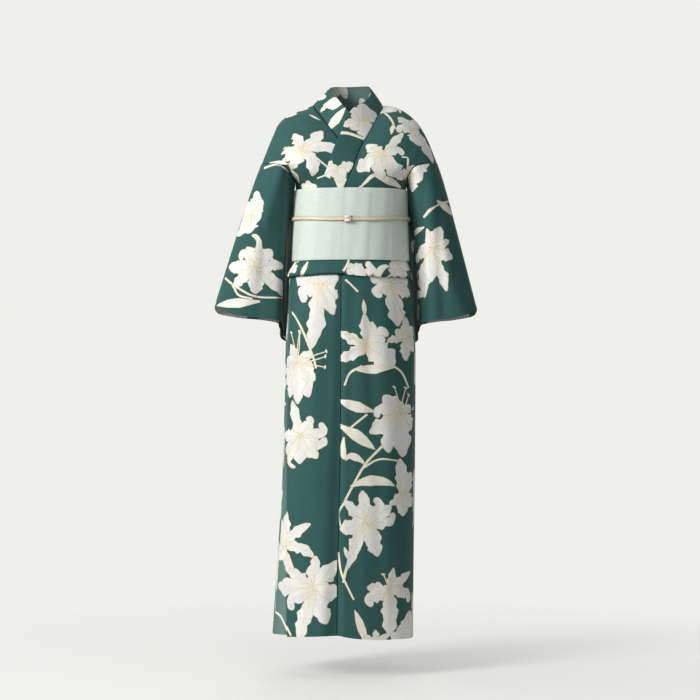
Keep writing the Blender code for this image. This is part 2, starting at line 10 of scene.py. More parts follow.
import bpy
import numpy as np
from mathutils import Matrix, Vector
from mathutils.bvhtree import BVHTree
from mathutils.geometry import delaunay_2d_cdt

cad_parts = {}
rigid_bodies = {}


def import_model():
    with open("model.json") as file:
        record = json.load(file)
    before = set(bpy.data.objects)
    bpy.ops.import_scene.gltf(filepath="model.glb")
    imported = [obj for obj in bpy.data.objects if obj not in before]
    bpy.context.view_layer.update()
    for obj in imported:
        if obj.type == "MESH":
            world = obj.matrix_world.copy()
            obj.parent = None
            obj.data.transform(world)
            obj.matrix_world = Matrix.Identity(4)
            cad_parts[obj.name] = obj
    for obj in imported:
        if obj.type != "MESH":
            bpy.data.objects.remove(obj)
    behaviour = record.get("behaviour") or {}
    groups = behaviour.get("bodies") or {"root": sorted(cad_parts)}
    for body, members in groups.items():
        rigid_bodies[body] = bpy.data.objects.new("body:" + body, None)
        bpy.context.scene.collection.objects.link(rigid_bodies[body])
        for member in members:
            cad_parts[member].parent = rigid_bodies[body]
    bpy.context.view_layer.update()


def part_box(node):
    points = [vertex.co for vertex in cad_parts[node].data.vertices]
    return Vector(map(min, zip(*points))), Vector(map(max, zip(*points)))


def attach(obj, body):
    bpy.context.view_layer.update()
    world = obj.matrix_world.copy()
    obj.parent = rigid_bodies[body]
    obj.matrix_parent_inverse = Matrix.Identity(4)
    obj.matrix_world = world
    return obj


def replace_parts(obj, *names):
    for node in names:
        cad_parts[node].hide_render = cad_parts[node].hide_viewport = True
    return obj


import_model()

# ---- driving dimensions (m) ----
SEAM_GAP = 0.0005  # between the edges of two pieces that are sewn together
MID_X = 0.006  # centre back seam
SQUARE = 2.3  # roundness of the body sections: 2 is an ellipse
SIDE_SEAM = math.radians(14)  # how far in front of the widest point the side seams run
BODY_COLUMNS = 9
FOLD_TOP = -0.298  # where the tie under the belt holds the fold-over
FOLD_STEP = 0.0034  # from one layer of the fold-over to the next
UNDER_STEP = 0.0055  # from the wrap-over layer to the layer under it
TUCK_STEP = 0.0060  # and further in where the fold-over is tucked up
OBI_TOP, OBI_BOTTOM = -0.1895, -0.3570
CORD_Z, CORD_HIGH, CORD_DEEP = -0.2620, 0.0100, 0.0040

# The skirt and waist: z, least x, greatest x, front y, back y
SECTIONS = (
    (-0.180, -0.1150, 0.1325, -0.1010, 0.0900),
    (-0.300, -0.1175, 0.1350, -0.1040, 0.0900),
    (-0.357, -0.1195, 0.1370, -0.1060, 0.0930),
    (-0.375, -0.1300, 0.1430, -0.1110, 0.1010),
    (-0.396, -0.1390, 0.1490, -0.1160, 0.1080),
    (-0.430, -0.1395, 0.1560, -0.1190, 0.1130),
    (-0.480, -0.1420, 0.1595, -0.1220, 0.1200),
    (-0.568, -0.1455, 0.1630, -0.1240, 0.1250),
    (-0.687, -0.1480, 0.1620, -0.1240, 0.1250),
    (-0.925, -0.1560, 0.1600, -0.1215, 0.1200),
    (-1.164, -0.1720, 0.1570, -0.1200, 0.1150),
    (-1.250, -0.1775, 0.1570, -0.1200, 0.1150),
)
# Lower edges by x: the hem of each layer, and the fold-over
HEM_TOP = ((-0.180, -1.2405), (-0.137, -1.2390), (-0.100, -1.2360), (-0.025, -1.2310),
           (-0.004, -1.2360), (0.020, -1.2390), (0.075, -1.2440), (0.120, -1.2445), (0.160, -1.2490))
HEM_UNDER = ((-0.180, -1.2400), (-0.130, -1.2340), (0.160, -1.2340))
HEM_BACK = ((-0.180, -1.2400), (0.006, -1.2420), (0.160, -1.2490))
FOLD_EDGE = ((-0.150, -0.3966), (-0.110, -0.3943), (-0.060, -0.3915), (-0.023, -0.3900),
             (0.007, -0.3935), (0.055, -0.3970), (0.100, -0.3973), (0.160, -0.3990))
# The wrap: x of the seams and free edges in front, by z
OKUMI_SEAM = ((-0.190, 0.0060), (-0.357, -0.0110), (-0.398, -0.0151), (-0.800, -0.0172),
              (-1.000, -0.0215), (-1.100, -0.0252), (-1.250, -0.0260))
OKUMI_EDGE = ((-0.190, -0.0047), (-0.300, -0.0600), (-0.357, -0.1180), (-0.395, -0.1300),
              (-0.568, -0.1350), (-0.925, -0.1400), (-1.250, -0.1400))
UNDER_SEAM = ((-0.190, 0.0290), (-0.400, 0.0300), (-1.250, 0.0340))
UNDER_EDGE = ((-0.190, 0.0400), (-0.300, 0.0900), (-0.357, 0.1120), (-0.395, 0.1270),
              (-0.568, 0.1400), (-1.250, 0.1400))

# The yoke at +x: distance from the shoulder line, then x y z of five points from the collar seam out to
# the armhole
FRONT_YOKE = (
    (0.00, (0.0857, 0.012, 0.0145), (0.1190, 0.008, 0.0096), (0.1600, 0.004, -0.0190),
     (0.1895, 0.002, -0.0620), (0.2140, 0.000, -0.1235)),
    (0.05, (0.0733, -0.033, -0.0155), (0.1120, -0.036, -0.0180), (0.1530, -0.036, -0.0420),
     (0.1820, -0.037, -0.0800), (0.2060, -0.038, -0.1260)),
    (0.10, (0.0525, -0.066, -0.0580), (0.0950, -0.073, -0.0620), (0.1330, -0.072, -0.0830),
     (0.1610, -0.069, -0.1080), (0.1830, -0.067, -0.1290)),
    (0.15, (0.0300, -0.087, -0.1000), (0.0730, -0.094, -0.1060), (0.1120, -0.092, -0.1180),
     (0.1390, -0.085, -0.1290), (0.1580, -0.077, -0.1360)),
    (0.19, (0.0165, -0.100, -0.1420), (0.0600, -0.101, -0.1450), (0.1010, -0.093, -0.1490),
     (0.1290, -0.076, -0.1520), (0.1440, -0.050, -0.1540)),
    (0.23, (0.0085, -0.106, -0.1760), (0.0540, -0.107, -0.1770), (0.0980, -0.096, -0.1770),
     (0.1275, -0.067, -0.1760), (0.1412, -0.018, -0.1720)),
)
BACK_YOKE = (
    (0.035, (0.0600, 0.050, 0.0170), (0.1050, 0.045, 0.0040), (0.1500, 0.038, -0.0300),
     (0.1820, 0.036, -0.0740), (0.2060, 0.034, -0.1260)),
    (0.07, (0.0065, 0.072, 0.0100), (0.0700, 0.076, -0.0150), (0.1280, 0.066, -0.0550),
     (0.1610, 0.060, -0.0980), (0.1880, 0.056, -0.1290)),
    (0.12, (0.0065, 0.088, -0.0450), (0.0550, 0.090, -0.0600), (0.1080, 0.084, -0.0900),
     (0.1390, 0.074, -0.1180), (0.1620, 0.068, -0.1370)),
    (0.17, (0.0065, 0.095, -0.1000), (0.0500, 0.095, -0.1100), (0.0980, 0.088, -0.1280),
     (0.1290, 0.073, -0.1430), (0.1480, 0.052, -0.1490)),
    (0.23, (0.0065, 0.097, -0.1600), (0.0480, 0.096, -0.1650), (0.0920, 0.085, -0.1700),
     (0.1240, 0.060, -0.1710), (0.1412, 0.012, -0.1720)),
)
# The collar seam at -x, which sits nearer the middle: x z by row of FRONT_YOKE
OTHER_NECK = ((-0.0812, 0.0165), (-0.0630, -0.0150), (-0.0330, -0.0560), (-0.0020, -0.1000),
              (0.0180, -0.1420), (0.0260, -0.1760))
OTHER_SHOULDER_OUT = 0.006  # the shoulder point at -x lies this much further out

# Inner edge of the collar, for each row of the yoke from the nape down: x y z
COLLAR_TOP = (
    (0.0060, 0.060, 0.0672), (0.0250, 0.056, 0.0675), (0.0410, 0.045, 0.0668), (0.0490, 0.033, 0.0650),
    (0.0545, 0.018, 0.0600), (0.0560, -0.004, 0.0420), (0.0400, -0.038, 0.0190),
    (0.0120, -0.070, -0.0010), (-0.0030, -0.082, -0.0270), (-0.0110, -0.085, -0.0510),
    (-0.0217, -0.090, -0.0737), (-0.0300, -0.095, -0.0930), (-0.0380, -0.098, -0.1140),
    (-0.0440, -0.100, -0.1330), (-0.0500, -0.102, -0.1500),
)
COLLAR_UNDER = (
    (0.0060, 0.060, 0.0672), (-0.0130, 0.055, 0.0670), (-0.0310, 0.044, 0.0655),
    (-0.0400, 0.031, 0.0620), (-0.0440, 0.016, 0.0550), (-0.0290, -0.012, 0.0370),
    (-0.0147, -0.040, 0.0171), (-0.0010, -0.070, -0.0020), (0.0150, -0.073, -0.0240),
    (0.0310, -0.074, -0.0470), (0.0470, -0.074, -0.0700), (0.0590, -0.078, -0.0940),
    (0.0700, -0.080, -0.1180), (0.0760, -0.084, -0.1380), (0.0820, -0.086, -0.1600),
)
COLLAR_END = (  # under the belt: seam x z, inner edge x z
    (-0.0135, -0.2050, -0.0620, -0.1790), (-0.0282, -0.2350, -0.0760, -0.2070),
)
COLLAR_LIFT = 0.0032  # from the middle of the panel below to the middle of the collar
COLLAR_SWELL, COLLAR_END_LIFT = 0.0010, 0.0014  # bulge of the top layer, and more lift under the belt
COLLAR_SEAM = 0.0027  # from the edge of the panel to the collar's own edge, along the collar
GUSSET_TIP = ((-0.1760, 0.0078, 0.0004), (-0.1450, 0.0152, 0.0134))  # z, seam x, edge x
TOP_SEAM = ((-0.1180, 0.0236), (-0.1450, 0.0132), (-0.1760, 0.0000))  # the collar's seam beside it: z, x

# The belt: a spiral of one turn and a lap, its tail folded flat behind, and the cord over both
OBI_LAP = math.radians(25)  # each side of the centre back
OBI_OUT = 0.0112  # from the form to the middle of the belt
OBI_LAP_STEP = 0.0034  # how much further out the upper end of the lap lies
TAIL_HALF = 0.052  # half the width of the tail
TAIL_TOP, TAIL_BOTTOM, TAIL_INNER = -0.1760, -0.3720, -0.3500
BELT_MID_X = 0.009  # middle of the tail
CORD_OUT = 0.0150  # from the form to the middle of the cord, in front
CORD_BEHIND, CORD_OVER_TAIL, CORD_OVER_MOUNT = 0.0038, 0.0092, 0.0024  # and further out at these places
CORD_SIDE_RISE = 0.0050  # how much higher the cord runs at the sides
ORNAMENT_X = 0.0015

# Sleeves: along the cuff from the upper fold, the place between the inner (0) and outer (1) limits,
# y, and z below the upper fold; the front layer, then the back layer
CUFF_FRONT = (
    (1.000, 0.005, 0.000), (0.940, -0.030, -0.008), (0.700, -0.050, -0.020), (0.340, -0.056, -0.026),
    (0.080, -0.042, -0.032), (0.000, -0.006, -0.042), (0.000, 0.045, -0.058), (0.030, 0.078, -0.074),
    (-0.110, 0.108, -0.088), (-0.070, 0.150, -0.102),
)
CUFF_BACK = (
    (1.000, 0.005, 0.000), (0.950, 0.034, -0.015), (0.700, 0.048, -0.025), (0.360, 0.045, -0.030),
    (0.110, 0.024, -0.036), (0.045, 0.004, -0.043), (0.030, 0.042, -0.058), (0.062, 0.082, -0.074),
    (-0.075, 0.114, -0.088), (-0.070, 0.150, -0.102),
)
# The free edge beside the body, below the armhole: x y z at +x
OPEN_FRONT = ((0.1525, 0.030, -0.196), (0.1450, 0.070, -0.232), (0.1400, 0.108, -0.268),
              (0.1450, 0.140, -0.292))
OPEN_BACK = ((0.1590, 0.038, -0.196), (0.1590, 0.078, -0.232), (0.1550, 0.114, -0.268),
             (0.1450, 0.140, -0.292))
SLEEVES = (  # name, side, inner limit, outer limit, z of the upper fold at the cuff
    ("sleeve_left", 1, 0.1680, 0.3100, -0.4700),
    ("sleeve_right", -1, 0.1560, 0.3160, -0.4650),
)
SLEEVE_ROWS = 11


# ---- small tools ----
def table(rows, at, column=1):
    """Straight interpolation in a table whose first column runs either way."""
    rows = sorted(rows)
    if at <= rows[0][0]:
        return rows[0][column]
    for low, high in zip(rows, rows[1:]):
        if at <= high[0]:
            part = (at - low[0]) / (high[0] - low[0])
            return low[column] + (high[column] - low[column]) * part
    return rows[-1][column]


def clamped(value):
    """This value, kept between 0 and 1."""
    return min(1.0, max(0.0, value))


def signed(value, power):
    """The size of a value to this power, with the value's own sign."""
    return math.copysign(abs(value) ** power, value)


def step(low, high, value):
    """0 below low, 1 above high, smooth between."""
    part = clamped((value - low) / (high - low))
    return part * part * (3 - 2 * part)


def between(before, start, end, after, part):
    """A point on the smooth curve from start to end."""
    cube, square = part ** 3, part ** 2
    return 0.5 * (
        2 * start
        + (end - before) * part
        + (2 * before - 5 * start + 4 * end - after) * square
        + (3 * start - before - 3 * end + after) * cube
    )


def smooth(points, parts, closed=False):
    """More points on a smooth curve through these, with this many steps from one to the next."""
    points = [Vector(p) for p in points]
    count = len(points)
    made = []
    for i in range(count if closed else count - 1):
        if closed:
            near = [points[(i + k) % count] for k in (-1, 0, 1, 2)]
        else:
            near = [points[min(count - 1, max(0, i + k))] for k in (-1, 0, 1, 2)]
            if i == 0:
                near[0] = 2 * near[1] - near[2]
            if i == count - 2:
                near[3] = 2 * near[2] - near[1]
        made += [between(*near, k / parts) for k in range(parts)]
    return made if closed else made + [points[-1]]


def even(points, count, closed=False):
    """This many points at equal steps along a curve."""
    line = smooth(points, 12, closed)
    if closed:
        line.append(line[0])
    lengths = [0.0]
    for a, b in zip(line, line[1:]):
        lengths.append(lengths[-1] + (b - a).length)
    steps = count if closed else count - 1
    made, at = [], 0
    for k in range(count):
        want = lengths[-1] * k / steps
        while at < len(line) - 2 and lengths[at + 1] < want:
            at += 1
        part = (want - lengths[at]) / max(1e-9, lengths[at + 1] - lengths[at])
        made.append(line[at].lerp(line[at + 1], min(1.0, part)))
    return made


def ease(low, high, value):
    """The same as step, for arrays, and for limits in either order."""
    part = np.clip((value - low) / (high - low), 0, 1)
    return part * part * (3 - 2 * part)


def bell(gap, wide):
    """1 where the gap is nothing, and next to nothing at twice this width."""
    return np.exp(-((gap / wide) ** 2))


def unit(vectors, axis=1, least=1e-12):
    """These vectors at length 1, along this axis of the array."""
    return vectors / (np.linalg.norm(vectors, axis=axis, keepdims=True) + least)


# ---- the body form that the layers follow ----
def section(z, angle, out=0.0):
    """A point of the form at this height. Angle 0 is the side at +x, -90 degrees the front."""
    left, right = table(SECTIONS, z, 1), table(SECTIONS, z, 2)
    front, back = -table(SECTIONS, z, 3), table(SECTIONS, z, 4)
    wide = (right - left) / 2
    deep = front if math.sin(angle) < 0 else back
    c, s = math.cos(angle), math.sin(angle)
    x, y = signed(c, 2 / SQUARE), signed(s, 2 / SQUARE)
    nx, ny = signed(x, SQUARE - 1) / wide, signed(y, SQUARE - 1) / deep
    long = math.hypot(nx, ny)
    centre = (left + right) / 2
    return Vector((centre + wide * x + out * nx / long, deep * y + out * ny / long, z))


def front_angle(x, z):
    """The angle in front at which the form has this x."""
    left, right = table(SECTIONS, z, 1), table(SECTIONS, z, 2)
    share = (x - (left + right) / 2) / ((right - left) / 2)
    share = min(0.999, max(-0.999, share))
    return -math.acos(signed(share, SQUARE / 2))


def drape(point, front):
    """The long soft folds of the skirt: both layers in front follow them together."""
    x, z = point.x, point.z
    down = step(-0.45, -1.20, z) if front else 0.0
    valley = math.exp(-(((x + 0.048) / 0.034) ** 2))
    ridge = math.exp(-(((x + 0.004) / 0.026) ** 2))
    far = math.exp(-(((x - 0.085) / 0.030) ** 2))
    point.y += down * (0.008 * valley - 0.002 * ridge + 0.003 * far)
    if not front:
        wave = math.sin((x - MID_X) * 48 + 1.5)
        point.y += 0.005 * wave * step(-0.50, -1.15, z) * step(0.02, 0.07, point.y)
    return point


# The path of a front or back panel from the hem up to the belt's upper edge: z, how far out of the
# form, and how far the edge tables bend the row (of the hem, of the fold-over)
SKIRT_ROWS = (-1.250, -1.170, -1.080, -0.990, -0.900, -0.810, -0.720, -0.640, -0.568, -0.500,
              -0.450, -0.410, -0.390, -0.365, -0.335)
FOLD_ROWS = (  # z, layer out, share of the fold edge's bend
    (FOLD_TOP, 0, 0.0), (FOLD_TOP, 1, 0.0), (-0.335, 1, 0.0), (-0.365, 1, 0.2), (-0.3935, 1, 1.0),
    (-0.3935, 2, 1.0), (-0.380, 2, 0.7), (-0.368, 2, 0.2), (-0.357, 2, 0.0), (-0.325, 2, 0.0),
    (-0.285, 2, 0.0), (-0.245, 2, 0.0), (-0.205, 2, 0.0),
)
FOLD_MIDDLE = -0.3935
lower_rows = SKIRT_ROWS + FOLD_ROWS


def under_shift(z, angle):
    """How far the right body panel moves in where it lies under the wrap."""
    lap = step(math.radians(-165), math.radians(-155), angle) * step(0.2, -0.05, angle)
    if z > FOLD_TOP + 0.012:
        deep = UNDER_STEP + TUCK_STEP * (1 - step(-0.285, -0.245, z))
    elif z > -0.41:
        deep = UNDER_STEP + TUCK_STEP
    else:
        deep = UNDER_STEP + TUCK_STEP * step(-0.50, -0.41, z)
    return -deep * lap


def lower_row(z, layer, hem, fold_share, ends, count, under):
    """One row of a panel on the form, between two limits given as angles."""
    start, end = ends
    row = []
    for k in range(count):
        angle = start + (end - start) * k / (count - 1)
        at = z
        x = section(z, angle).x
        if hem is not None:
            at += (table(hem, x) + 1.250) * (1 - step(-1.25, -0.95, z))
        at += (table(FOLD_EDGE, x) - FOLD_MIDDLE) * fold_share
        out = layer * FOLD_STEP
        if under:
            out += under_shift(at, angle)
        point = section(at, angle, out)
        if layer == 0:
            point = drape(point, math.sin(angle) < 0)
        row.append(point)
    return row


def lower_panel(hem, ends_at, count, under):
    """Rows from the hem to the upper edge of the belt. ends_at gives the limits for a height."""
    rows = []
    for z in SKIRT_ROWS:
        rows.append(lower_row(z, 0, hem, 0.0, ends_at(z), count, under))
    for z, layer, share in FOLD_ROWS:
        rows.append(lower_row(z, layer, None, share, ends_at(z), count, under))
    return rows


def belt_edge_row(row, side, front, under):
    """The row just above the belt, from the inner edge to the end of the armhole."""
    ends = [Vector(row[1]), Vector(row[5])]
    if front:
        x = ends[0].x if side > 0 else OTHER_NECK[-1][0]
        start = front_angle(x, ends[0].z)
        end = -math.radians(7.3) if side > 0 else -math.pi + math.radians(7.3)
    else:
        start = math.pi / 2
        end = math.radians(5.2) if side > 0 else math.pi - math.radians(5.2)
    made = []
    for k in range(BODY_COLUMNS):
        part = k / (BODY_COLUMNS - 1)
        z = ends[0].z + (ends[1].z - ends[0].z) * part
        angle = start + (end - start) * part
        out = 2 * FOLD_STEP + 0.0004
        if under and front:
            out += under_shift(z, angle)
        made.append(section(z, angle, out))
    return made


def yoke_rows(rows, side, front, under):
    """Rows over the chest or the back, from the belt's upper edge to the shoulder line."""
    made = []
    for at in range(len(rows) - 1, -1, -1):
        points = []
        if at == len(rows) - 1:
            made.append(belt_edge_row(rows[at], side, front, under))
            continue
        for k, (x, y, z) in enumerate(rows[at][1:]):
            if side < 0:
                x = 2 * MID_X - x
                if k == 2 and z > -0.06:
                    x -= OTHER_SHOULDER_OUT
                if front and k == 0:
                    x, z = OTHER_NECK[at]
                if front and k == 1:
                    x = OTHER_NECK[at][0] - (0.0190 if at == 0 else 0.045)  # nearer at the shoulder line
                    z -= 0.0025 if at == 0 else 0.0
            if under and front and k < 2 and at > 1:
                y += UNDER_STEP if k == 0 else UNDER_STEP * 0.85
            if not front and k == 0 and rows[at][0] > 0.06:
                x = MID_X + side * SEAM_GAP
            points.append(Vector((x, y, z)))
        made.append(even(points, BODY_COLUMNS))
    return made


def denser(rows):
    """One more row between each two, on smooth curves through them."""
    columns = [smooth([row[k] for row in rows], 2) for k in range(len(rows[0]))]
    return [list(row) for row in zip(*columns)]


def tree_of(*grids):
    """What a ray can be cast on: the middle surfaces of these grids."""
    points, faces = [], []
    for rows in grids:
        base, wide = len(points), len(rows[0])
        points += [p for row in rows for p in row]
        for r in range(len(rows) - 1):
            for c in range(wide - 1):
                a = base + r * wide + c
                faces.append((a, a + 1, a + wide + 1, a + wide))
    return BVHTree.FromPolygons(points, faces)


# ---- body panels: front hem, up over the shoulder, to the back hem ----
WRAP_LIMIT = math.radians(154.5)  # a seam of the wrap runs no further round to the side
SIDE_PLAY, BACK_PLAY = 0.002, 0.0015  # radians from a side seam and from the centre back to a panel's edge


def seam_angle(seam, z, shift=0.0):
    return max(-WRAP_LIMIT, front_angle(table(seam, z) + shift, z))


def left_front(z):
    return seam_angle(OKUMI_SEAM, z, SEAM_GAP / 2), -SIDE_SEAM - SIDE_PLAY


def left_back(z):
    return math.pi / 2 - BACK_PLAY, -SIDE_SEAM + SIDE_PLAY


def right_front(z):
    return seam_angle(UNDER_SEAM, z, -SEAM_GAP / 2), -math.pi + SIDE_SEAM + SIDE_PLAY


def right_back(z):
    return math.pi / 2 + BACK_PLAY, math.pi + SIDE_SEAM - SIDE_PLAY


def body_panel(side):
    under = side < 0
    front_ends, back_ends = (right_front, right_back) if under else (left_front, left_back)
    front = lower_panel(HEM_UNDER if under else HEM_TOP, front_ends, BODY_COLUMNS, under)
    back = lower_panel(HEM_BACK, back_ends, BODY_COLUMNS, False)
    chest = yoke_rows(FRONT_YOKE, side, True, under)
    shoulders = yoke_rows(BACK_YOKE, side, False, under)[::-1]
    yoke = denser([front[-1]] + chest + shoulders + [back[-1]])
    for row in yoke:
        if row[0].y > 0:
            row[0].x = MID_X + side * max(SEAM_GAP / 2, side * (row[0].x - MID_X))
    armhole = [row[-1] for row in yoke[2:-2]]
    return front[:-1] + yoke + back[:-1][::-1], armhole


body_left, armhole_left = body_panel(1)
body_right, armhole_right = body_panel(-1)


# ---- overlap panels ----
def okumi(seam, edge, hem, side):
    """The long gusset between a front panel and the collar."""
    def ends(z):
        return (
            seam_angle(seam, z, -side * SEAM_GAP / 2),
            seam_angle(edge, z),
        )

    return lower_panel(hem, ends, 5, side < 0)


okumi_left = okumi(OKUMI_SEAM, OKUMI_EDGE, HEM_TOP, 1)
okumi_right = okumi(UNDER_SEAM, UNDER_EDGE, HEM_UNDER, -1)
beside = [row[0] for row in body_left if row[0].y < 0]
for z, seam_x, edge_x in GUSSET_TIP:
    near = min(beside, key=lambda p: abs(p.z - z) + abs(p.x - seam_x))
    okumi_left.append([Vector((seam_x + (edge_x - seam_x) * k / 4, near.y, z)) for k in range(5)])


# ---- collar ----
def hit_y(tree, x, z):
    hit = tree.ray_cast(Vector((x, -1.0, z)), Vector((0, 1, 0)))[0]
    return hit.y if hit and hit.y < 0 else None


def band_row(seam, inner, swell, tree, below, lift=COLLAR_LIFT):
    """Across the collar from the seam: a shallow curve, kept clear of the panels under or over it."""
    across = inner - seam
    start = seam + across.normalized() * COLLAR_SEAM
    out = Vector((seam.x - MID_X, min(seam.y, seam.y * 3), 0)).normalized()
    row = []
    for part in (0.0, 1 / 3, 2 / 3, 1.0):
        point = start.lerp(inner, part) + out * (swell * 4 * part * (1 - part))
        on = hit_y(tree, point.x, point.z)
        if on is not None and part > 0:
            if below:
                point.y = max(point.y, on + lift)
            else:
                point.y = min(point.y, on - lift)
        row.append(point)
    return row


def yoke_edge(panel):
    """The inner edge of a panel from the nape down to the belt."""
    rows = panel[len(lower_rows):-len(lower_rows)]
    edge = [row[0] for row in rows][::-1]
    return edge[next(k for k, p in enumerate(edge) if abs(p.z - 0.010) < 0.004):]


over_under = tree_of(body_left, okumi_left)
collar_under = [
    band_row(seam, Vector(inner), 0.0, over_under, True)
    for seam, inner in zip(yoke_edge(body_right), COLLAR_UNDER)
]
below_top = tree_of(body_right, collar_under)
top_edge = yoke_edge(body_left)
for point in top_edge:
    if point.z < TOP_SEAM[0][0]:
        point.x = table(TOP_SEAM, point.z)
top_pairs = list(zip(top_edge, COLLAR_TOP))
for x, z, inner_x, inner_z in COLLAR_END:
    seam = Vector((x, section(z, front_angle(x, z), 2 * FOLD_STEP).y, z))
    top_pairs.append((seam, Vector((inner_x, seam.y / 2, inner_z))))
collar_top = []
for at, (seam, inner) in enumerate(top_pairs):
    lift = COLLAR_LIFT + COLLAR_END_LIFT * step(len(COLLAR_TOP) - 3, len(COLLAR_TOP), at)
    collar_top.append(band_row(seam, Vector(inner), COLLAR_SWELL, below_top, False, lift))


# ---- belt ----
def belt_point(z, angle, out):
    return section(z, angle, OBI_OUT + out)


BELT_ROWS = (OBI_TOP, -0.246, -0.302, OBI_BOTTOM)
OBI_STEPS = 76  # round the belt
TAIL_TURN, TAIL_LAYER = 0.0034, 0.0042  # from the belt to the tail, and from the tail's one layer to the next
obi_rows = []
for k in range(OBI_STEPS + 1):
    turn = math.pi / 2 + OBI_LAP - (2 * math.pi + 2 * OBI_LAP) * k / OBI_STEPS
    out = OBI_LAP_STEP * (1 - step(math.radians(-240), math.radians(-195), turn))
    obi_rows.append([belt_point(z, turn, out) for z in BELT_ROWS])

# the tail's heights, up inside (0) and down outside (1)
tail_path = ((TAIL_INNER, 0), (-0.300, 0), (-0.230, 0), (TAIL_TOP, 0), (TAIL_TOP, 1),
             (-0.230, 1), (-0.300, 1), (TAIL_BOTTOM, 1))
tail_rows = []
for z, layer in tail_path:
    row = []
    for k in range(7):
        x = BELT_MID_X + TAIL_HALF * (k / 3 - 1)
        held = min(max(z, OBI_BOTTOM), OBI_TOP)
        angle = -front_angle(x, held)
        point = belt_point(held, angle, OBI_LAP_STEP + TAIL_TURN + layer * TAIL_LAYER)
        point.z = z
        row.append(point)
    tail_rows.append(row)


def cord_out(angle):
    """How far out of the form the middle of the cord runs: over the tail, and over the ornament's back."""
    x = section(CORD_Z, angle).x
    if math.sin(angle) > 0:
        over_tail = 1 - step(TAIL_HALF + 0.004, TAIL_HALF + 0.040, abs(x - BELT_MID_X))
        return CORD_OUT + CORD_BEHIND * step(0.1, 0.6, math.sin(angle)) + CORD_OVER_TAIL * over_tail
    return CORD_OUT + CORD_OVER_MOUNT * math.exp(-(((x - ORNAMENT_X) / 0.019) ** 4))


def cord_path(count):
    made = []
    for k in range(count):
        angle = 2 * math.pi * k / count
        point = section(CORD_Z, angle, cord_out(angle))
        point.z += CORD_SIDE_RISE * step(0.25, 1.0, abs(math.cos(angle)))
        made.append(point)
    return made


def shares(points):
    """How far along the line each point is, from 0 to 1."""
    lengths = [0.0]
    for a, b in zip(points, points[1:]):
        lengths.append(lengths[-1] + (b - a).length)
    return [at / lengths[-1] for at in lengths]


def at_shares(points, wanted):
    """Points on the smooth curve through these, at these shares of its length."""
    line = even(points, 200)
    return [line[round(199 * share)] for share in wanted]


ARMHOLE_OUT, ARMHOLE_DOWN = 0.0022, 0.0018  # from the body's edge to the middle of the sleeve's cloth
SLEEVE_SWELL = 0.007  # the sleeve's curve outward between the armhole and the cuff


def sleeve_rows(side, armhole, inner, outer, top_z):
    middle = len(armhole) // 2

    def half(edge, free, cuff, parts):
        free = [Vector((MID_X + side * (x - MID_X), y, z)) for x, y, z in free]
        top = edge + smooth([edge[-1]] + free, parts)[1:]
        low = []
        for place, y, down in cuff:
            low.append(Vector((side * (inner + (outer - inner) * place), y, top_z + down)))
        return top, at_shares(low, shares(top))

    front = half(armhole[middle::-1], OPEN_FRONT, CUFF_FRONT, 3)
    back = half(armhole[middle:], OPEN_BACK, CUFF_BACK, 3)
    top = front[0] + back[0][-2:0:-1]
    low = front[1] + back[1][-2:0:-1]
    from_fold = shares(front[0]) + shares(back[0])[-2:0:-1]
    drop = Vector((side * ARMHOLE_OUT, 0, -ARMHOLE_DOWN))
    rows = []
    for r in range(SLEEVE_ROWS):
        part = r / (SLEEVE_ROWS - 1)
        swell = Vector((side * SLEEVE_SWELL * math.sin(math.pi * part ** 0.6), 0, 0))
        rows.append([
            (a + drop * min(1.0, 0.3 + share * 3)).lerp(b, part) + swell * min(1.0, 0.40 + share * 2)
            for a, b, share in zip(top, low, from_fold)
        ])
    return rows


# ---- the print: lilies, stems and leaves, by place on the robe ----
# Places are pixels of the photograph, read one by one: a centre, and where each petal or stamen points.
PIXELS_PER_METRE = 428.5  # in the plane of the robe's front
PICTURE_MIDDLE = 350
MM_PER_PIXEL = 1000 / PIXELS_PER_METRE
EYE_X, EYE_Z = 0.007, -0.5676  # where the camera's axis meets the robe
PANELS = {"OL": "okumi_left", "OR": "okumi_right", "BL": "body_left", "BR": "body_right", "C": "collar",
          "SL": "sleeve_left", "SR": "sleeve_right"}

